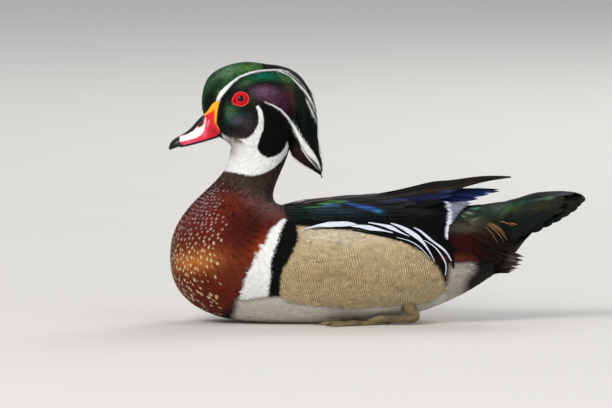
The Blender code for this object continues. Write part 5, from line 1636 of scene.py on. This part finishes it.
def wire(tree, node, inputs):
    """Links a node's inputs to sockets, or sets them to values."""
    for key, value in inputs.items():
        if isinstance(value, bpy.types.NodeSocket):
            tree.links.new(value, node.inputs[key])
        else:
            node.inputs[key].default_value = value


def add(tree, kind, inputs=None, **settings):
    """A shader node with its settings and inputs."""
    made = tree.nodes.new("ShaderNode" + kind)
    for key, value in settings.items():
        setattr(made, key, value)
    wire(tree, made, inputs or {})
    return made


def math_of(tree, operation, first, second=0.0, third=0.0):
    """The value of a Math node."""
    return add(tree, "Math", {0: first, 1: second, 2: third}, operation=operation).outputs[0]


def vector_of(tree, operation, inputs, output=0):
    """What a Vector Math node puts out."""
    return add(tree, "VectorMath", inputs, operation=operation).outputs[output]


def noise_of(tree, place, scale, detail):
    """The value of a Noise Texture node."""
    return add(tree, "TexNoise", {"Vector": place, "Scale": scale, "Detail": detail}).outputs[0]


def object_place(tree):
    """The place in object space."""
    return add(tree, "TexCoord").outputs["Object"]


def ramp_of(tree, factor, stops):
    """Colours by a number: stops are (position, (red, green, blue))."""
    made = add(tree, "ValToRGB", {0: factor})
    elements = made.color_ramp.elements
    for position, _ in stops[2:]:
        elements.new(position)
    for element, (position, colour) in zip(elements, stops):
        element.position = position
        element.color = tone(*colour, 1.0)
    return made.outputs[0]


def relief_of(tree, height, strength, distance):
    """The normal that a height gives."""
    return add(tree, "Bump", {"Height": height, "Strength": strength, "Distance": distance}).outputs[0]


def new_group(name, inputs, outputs):
    """A node group of numbers and its inner ends. An input without a value is a vector."""
    tree = bpy.data.node_groups.new(name, "ShaderNodeTree")
    for key, value in inputs.items():
        kind = "NodeSocketVector" if value is None else "NodeSocketFloat"
        socket = tree.interface.new_socket(key, in_out="INPUT", socket_type=kind)
        if value is not None:
            socket.default_value = value
    for key in outputs:
        tree.interface.new_socket(key, in_out="OUTPUT", socket_type="NodeSocketFloat")
    return tree, tree.nodes.new("NodeGroupInput").outputs, tree.nodes.new("NodeGroupOutput").inputs


def barbs_group():
    """Barbs that slant out from a shaft: a wave of the place along less the slant times that across."""
    inputs = {"Vane": None, "Spacing mm": 0.5, "Slant": 1.2}
    tree, given, out = new_group("Feather barbs", inputs, ("Height", "Shade"))
    place = add(tree, "SeparateXYZ", {0: given["Vane"]}).outputs
    out_from = math_of(tree, "ABSOLUTE", place["X"])
    slanted = math_of(tree, "SUBTRACT", place["Y"], math_of(tree, "MULTIPLY", out_from, given["Slant"]))
    ruffle = noise_of(tree, given["Vane"], 22.0, 1.0)
    bent = math_of(tree, "MULTIPLY_ADD", ruffle, 0.012, slanted)
    per_barb = math_of(tree, "MULTIPLY", given["Spacing mm"], MAP_SCALE / TAU)
    wave = math_of(tree, "SINE", math_of(tree, "DIVIDE", bent, per_barb))
    shaft = math_of(tree, "LESS_THAN", out_from, 0.0035)
    tree.links.new(math_of(tree, "MULTIPLY_ADD", shaft, 2.0, wave), out["Height"])
    tree.links.new(math_of(tree, "MULTIPLY_ADD", wave, 0.5, 0.5), out["Shade"])
    return tree


def fine_bars_group():
    """Fine upright wavy bars like a fingerprint: a wave of the place along the bird, bent by two noises."""
    tree, given, out = new_group("Fine bars", {"Period m": 0.0016, "Waver": 0.009}, ("Mask",))
    place = object_place(tree)
    parts = add(tree, "SeparateXYZ", {0: place}).outputs
    bent = math_of(tree, "MULTIPLY_ADD", noise_of(tree, place, 45.0, 1.0), given["Waver"], parts["X"])
    bent = math_of(tree, "MULTIPLY_ADD", noise_of(tree, place, 330.0, 1.0), 0.0016, bent)
    bent = math_of(tree, "MULTIPLY_ADD", parts["Z"], 0.25, bent)
    per_bar = math_of(tree, "DIVIDE", given["Period m"], TAU)
    wave = math_of(tree, "SINE", math_of(tree, "DIVIDE", bent, per_bar))
    mask = math_of(tree, "SMOOTH_MAX", math_of(tree, "MULTIPLY_ADD", wave, 0.75, 0.1), 0.0, 0.2)
    tree.links.new(mask, out["Mask"])
    return tree


def mottle_group():
    """Soft uneven light and dark over a surface, in object space, about 1."""
    tree, given, out = new_group("Mottle", {"Scale": 200.0, "Strength": 0.2}, ("Factor",))
    noise = noise_of(tree, object_place(tree), given["Scale"], 4.0)
    swing = math_of(tree, "MULTIPLY", math_of(tree, "SUBTRACT", noise, 0.5), given["Strength"])
    tree.links.new(math_of(tree, "MULTIPLY_ADD", swing, 2.0, 1.0), out["Factor"])
    return tree


def new_material(name):
    """A material with a Principled shader of its own."""
    made = bpy.data.materials.new(name)
    made.use_nodes = True
    tree = made.node_tree
    return made, tree, tree.nodes["Principled BSDF"]


def use_group(tree, group, inputs):
    """The outputs of a node group placed in a material."""
    return add(tree, "Group", inputs, node_tree=group).outputs


def mottled(tree, groups, scale, strength):
    """The mottle's number, about 1."""
    return use_group(tree, groups["mottle"], {"Scale": scale, "Strength": strength})["Factor"]


def dimmed(tree, colour, factor):
    """A colour times a number."""
    return vector_of(tree, "SCALE", {0: colour, "Scale": factor})


FINE_BAR = (112, 92, 62)  # the colour between the flank's pale bars


def plumage(name, groups, spacing=0.5, sheen=0.02, roughness=0.62, relief=0.35, contrast=0.25):
    """Feathers: the painted marks, darkened between the barbs, with fine bars where their mask is.

    The gloss in a mark's alpha makes it more metallic and less rough.
    """
    made, tree, shader = new_material(name)
    mark = add(tree, "Attribute", attribute_name="mark").outputs
    bars = add(tree, "Attribute", attribute_name="bars").outputs["Fac"]
    vane = add(tree, "UVMap", uv_map="Vane").outputs[0]
    barbs = use_group(tree, groups["barbs"], {"Vane": vane, "Spacing mm": spacing})
    fine = use_group(tree, groups["bars"], {})["Mask"]
    mottle = mottled(tree, groups, 260.0, 0.22)
    shade = math_of(tree, "MULTIPLY_ADD", barbs["Shade"], contrast, 1 - 0.7 * contrast)
    plain = dimmed(tree, mark["Color"], math_of(tree, "MULTIPLY", shade, mottle))
    barred = {0: math_of(tree, "MULTIPLY", fine, bars), 6: plain, 7: tone(*FINE_BAR, 1.0)}
    wire(tree, shader, {
        "Base Color": add(tree, "Mix", barred, data_type="RGBA").outputs[2],
        "Metallic": math_of(tree, "MULTIPLY", mark["Alpha"], 0.9),
        "Roughness": math_of(tree, "MULTIPLY_ADD", mark["Alpha"], -0.32, roughness),
        "Normal": relief_of(tree, barbs["Height"], relief, 0.00012),
        "Sheen Weight": sheen,
        "Sheen Roughness": 0.5,
        "Specular IOR Level": 0.05,
    })
    return made


def painted(name, groups, roughness, scale, strength, relief, coat=0.0, bump_scale=900.0):
    """A painted bare surface: its marks with a mottle, and a fine grain in its relief."""
    made, tree, shader = new_material(name)
    mark = add(tree, "Attribute", attribute_name="mark").outputs["Color"]
    mottle = mottled(tree, groups, scale, strength)
    wire(tree, shader, {
        "Base Color": dimmed(tree, mark, mottle),
        "Roughness": math_of(tree, "MULTIPLY", mottle, roughness),
        "Normal": relief_of(tree, noise_of(tree, object_place(tree), bump_scale, 3.0), relief, 0.0003),
        "Coat Weight": coat,
        "Coat Roughness": 0.2,
        "Specular IOR Level": 0.25,
    })
    return made


PUPIL = PUPIL_REACH / EYE_RADIUS
# From the pupil out: (share of the eye's radius, colour)
IRIS = (
    (0.0, (3, 2, 3)), (PUPIL - 0.03, (4, 2, 3)), (PUPIL + 0.015, (130, 2, 8)), (PUPIL + 0.08, (208, 4, 22)),
    (0.7, (220, 8, 30)), (0.9, (202, 6, 24)), (0.99, (168, 4, 18)),
)


def eye_finish(groups):
    """The eye: rings about its axis to the side, from black pupil through bright iris to dark rim."""
    made, tree, shader = new_material("Clear eye")
    middle = (eye_middle("eye_left") + [0, 0, PUPIL_RISE]) * MM
    away = vector_of(tree, "SUBTRACT", {0: object_place(tree), 1: (middle[0], 0.0, middle[2])})
    flat = vector_of(tree, "MULTIPLY", {0: away, 1: (1.0, 0.0, 1.0)})
    share = math_of(tree, "DIVIDE", vector_of(tree, "LENGTH", {0: flat}, "Value"), EYE_RADIUS * MM)
    mottle = mottled(tree, groups, 1400.0, 0.3)
    wire(tree, shader, {
        "Base Color": dimmed(tree, ramp_of(tree, share, IRIS), mottle),
        "Roughness": math_of(tree, "MULTIPLY", mottle, 0.16),
        "Coat Weight": 0.3,
        "Coat Roughness": 0.03,
        "Specular IOR Level": 0.15,
    })
    return made


def plain(name, groups, colours, roughness, scale, cells=None, relief=0.4, coat=0.0):
    """Bare skin or horn in two colours that mix by noise, with its wrinkles or scales in relief."""
    made, tree, shader = new_material(name)
    place = object_place(tree)
    height = noise = noise_of(tree, place, scale, 4.0)
    if cells:
        height = add(tree, "TexVoronoi", {"Vector": place, "Scale": cells}).outputs["Distance"]
    wire(tree, shader, {
        "Base Color": ramp_of(tree, noise, tuple(zip((0.38, 0.62), colours))),
        "Roughness": math_of(tree, "MULTIPLY", mottled(tree, groups, scale * 2, 0.2), roughness),
        "Normal": relief_of(tree, height, relief, 0.0004),
        "Coat Weight": coat,
    })
    return made


# The stage

FLOOR_CORNERS = ((-20, -20, 0), (20, -20, 0), (20, 20, 0), (-20, 20, 0))  # in metres
FLOOR_TONES = ((0.0, (222, 219, 213)), (1.0, (226, 223, 218)))


def floor():
    """A wide plain floor at Z = 0."""
    mesh = bpy.data.meshes.new("floor")
    fill_mesh(mesh, np.array(FLOOR_CORNERS) / MM, np.array([[0, 1, 2, 3]]), NO_TRIANGLES)
    made, tree, shader = new_material("Pale floor")
    noise = noise_of(tree, object_place(tree), 3.0, 3.0)
    wire(tree, shader, {"Base Color": ramp_of(tree, noise, FLOOR_TONES), "Roughness": 0.9})
    mesh.materials.append(made)
    placed = linked("floor", mesh)


def aimed(placed, place, target):
    """Puts a light or camera at a place, in metres, looking at a target."""
    placed.location = place
    placed.rotation_euler = (Vector(target) - Vector(place)).to_track_quat("-Z", "Y").to_euler()


def lamp(name, place, power, size, colour):
    """A square soft light aimed at the bird."""
    light = bpy.data.lights.new(name, "AREA")
    light.energy = power
    light.size = size
    light.color = colour
    aimed(linked(name, light), place, (-0.02, 0.0, 0.10))


def studio():
    """A large soft light from the front left, a weak one from behind, and a pale surround."""
    lamp("key", (-2.2, -3.4, 3.0), 150.0, 2.2, (1.0, 0.98, 0.95))
    lamp("fill", (3.0, -2.6, 1.6), 26.0, 2.5, (0.95, 0.98, 1.0))
    lamp("rim", (1.6, 3.0, 2.6), 60.0, 2.0, (1.0, 1.0, 1.0))
    world = bpy.data.worlds.new("pale surround")
    world.use_nodes = True
    background = world.node_tree.nodes["Background"]
    background.inputs["Color"].default_value = (0.93, 0.95, 1.0, 1.0)
    background.inputs["Strength"].default_value = 0.5
    bpy.context.scene.world = world
    bpy.context.scene.view_settings.view_transform = "Standard"


def camera():
    """A long lens from the left, a little above the bird, at the photograph's angle."""
    lens = bpy.data.cameras.new("camera")
    lens.lens = LENS
    lens.sensor_width = SENSOR
    lens.clip_end = 100.0
    target = AIM * MM
    away = VIEW_DISTANCE * MM * np.array([0.0, -math.cos(TILT), math.sin(TILT)])
    placed = linked("camera", lens)
    aimed(placed, target + away, target)
    bpy.context.scene.camera = placed


def build():
    """The finishes, the bird from skin to claws, and the stage."""
    marks = BODY_MARKS + HEAD_MARKS + WHITE_LINES
    groups = {"barbs": barbs_group(), "bars": fine_bars_group(), "mottle": mottle_group()}
    soft = plumage("Soft feathers", groups)
    firm = plumage("Flight feathers", groups, spacing=0.7, sheen=0.0, roughness=0.5, relief=0.4, contrast=0.2)
    silk = plumage("Silky plumes", groups, spacing=0.4, roughness=0.5, relief=0.25)
    skin(marks, painted("Feathered skin", groups, 0.8, 500.0, 0.2, 0.5))
    for name, first, last, slot in COAT_PIECES:
        coat(name, first, last, slot, marks, soft)
    crest(marks, silk)
    tree = search_tree()
    white_plumes(tree, marks, silk)
    wings(tree, firm)
    flank_stripes(tree, silk)
    tail(tree, firm)
    bill(painted("Bill horn", groups, 0.34, 300.0, 0.12, 0.12, coat=0.3, bump_scale=600.0))
    lid = painted("Lid skin", groups, 0.42, 900.0, 0.2, 0.3, bump_scale=1600.0)
    eyes(tree, eye_finish(groups), lid)
    leg = plain("Foot skin", groups, ((84, 74, 50), (134, 112, 68)), 0.55, 120.0, cells=900.0)
    horn = plain("Claw horn", groups, ((26, 22, 20), (46, 38, 32)), 0.3, 700.0, relief=0.15, coat=0.2)
    foot(-1, leg, horn)
    foot(1, leg, horn)
    floor()
    studio()
    camera()


build()
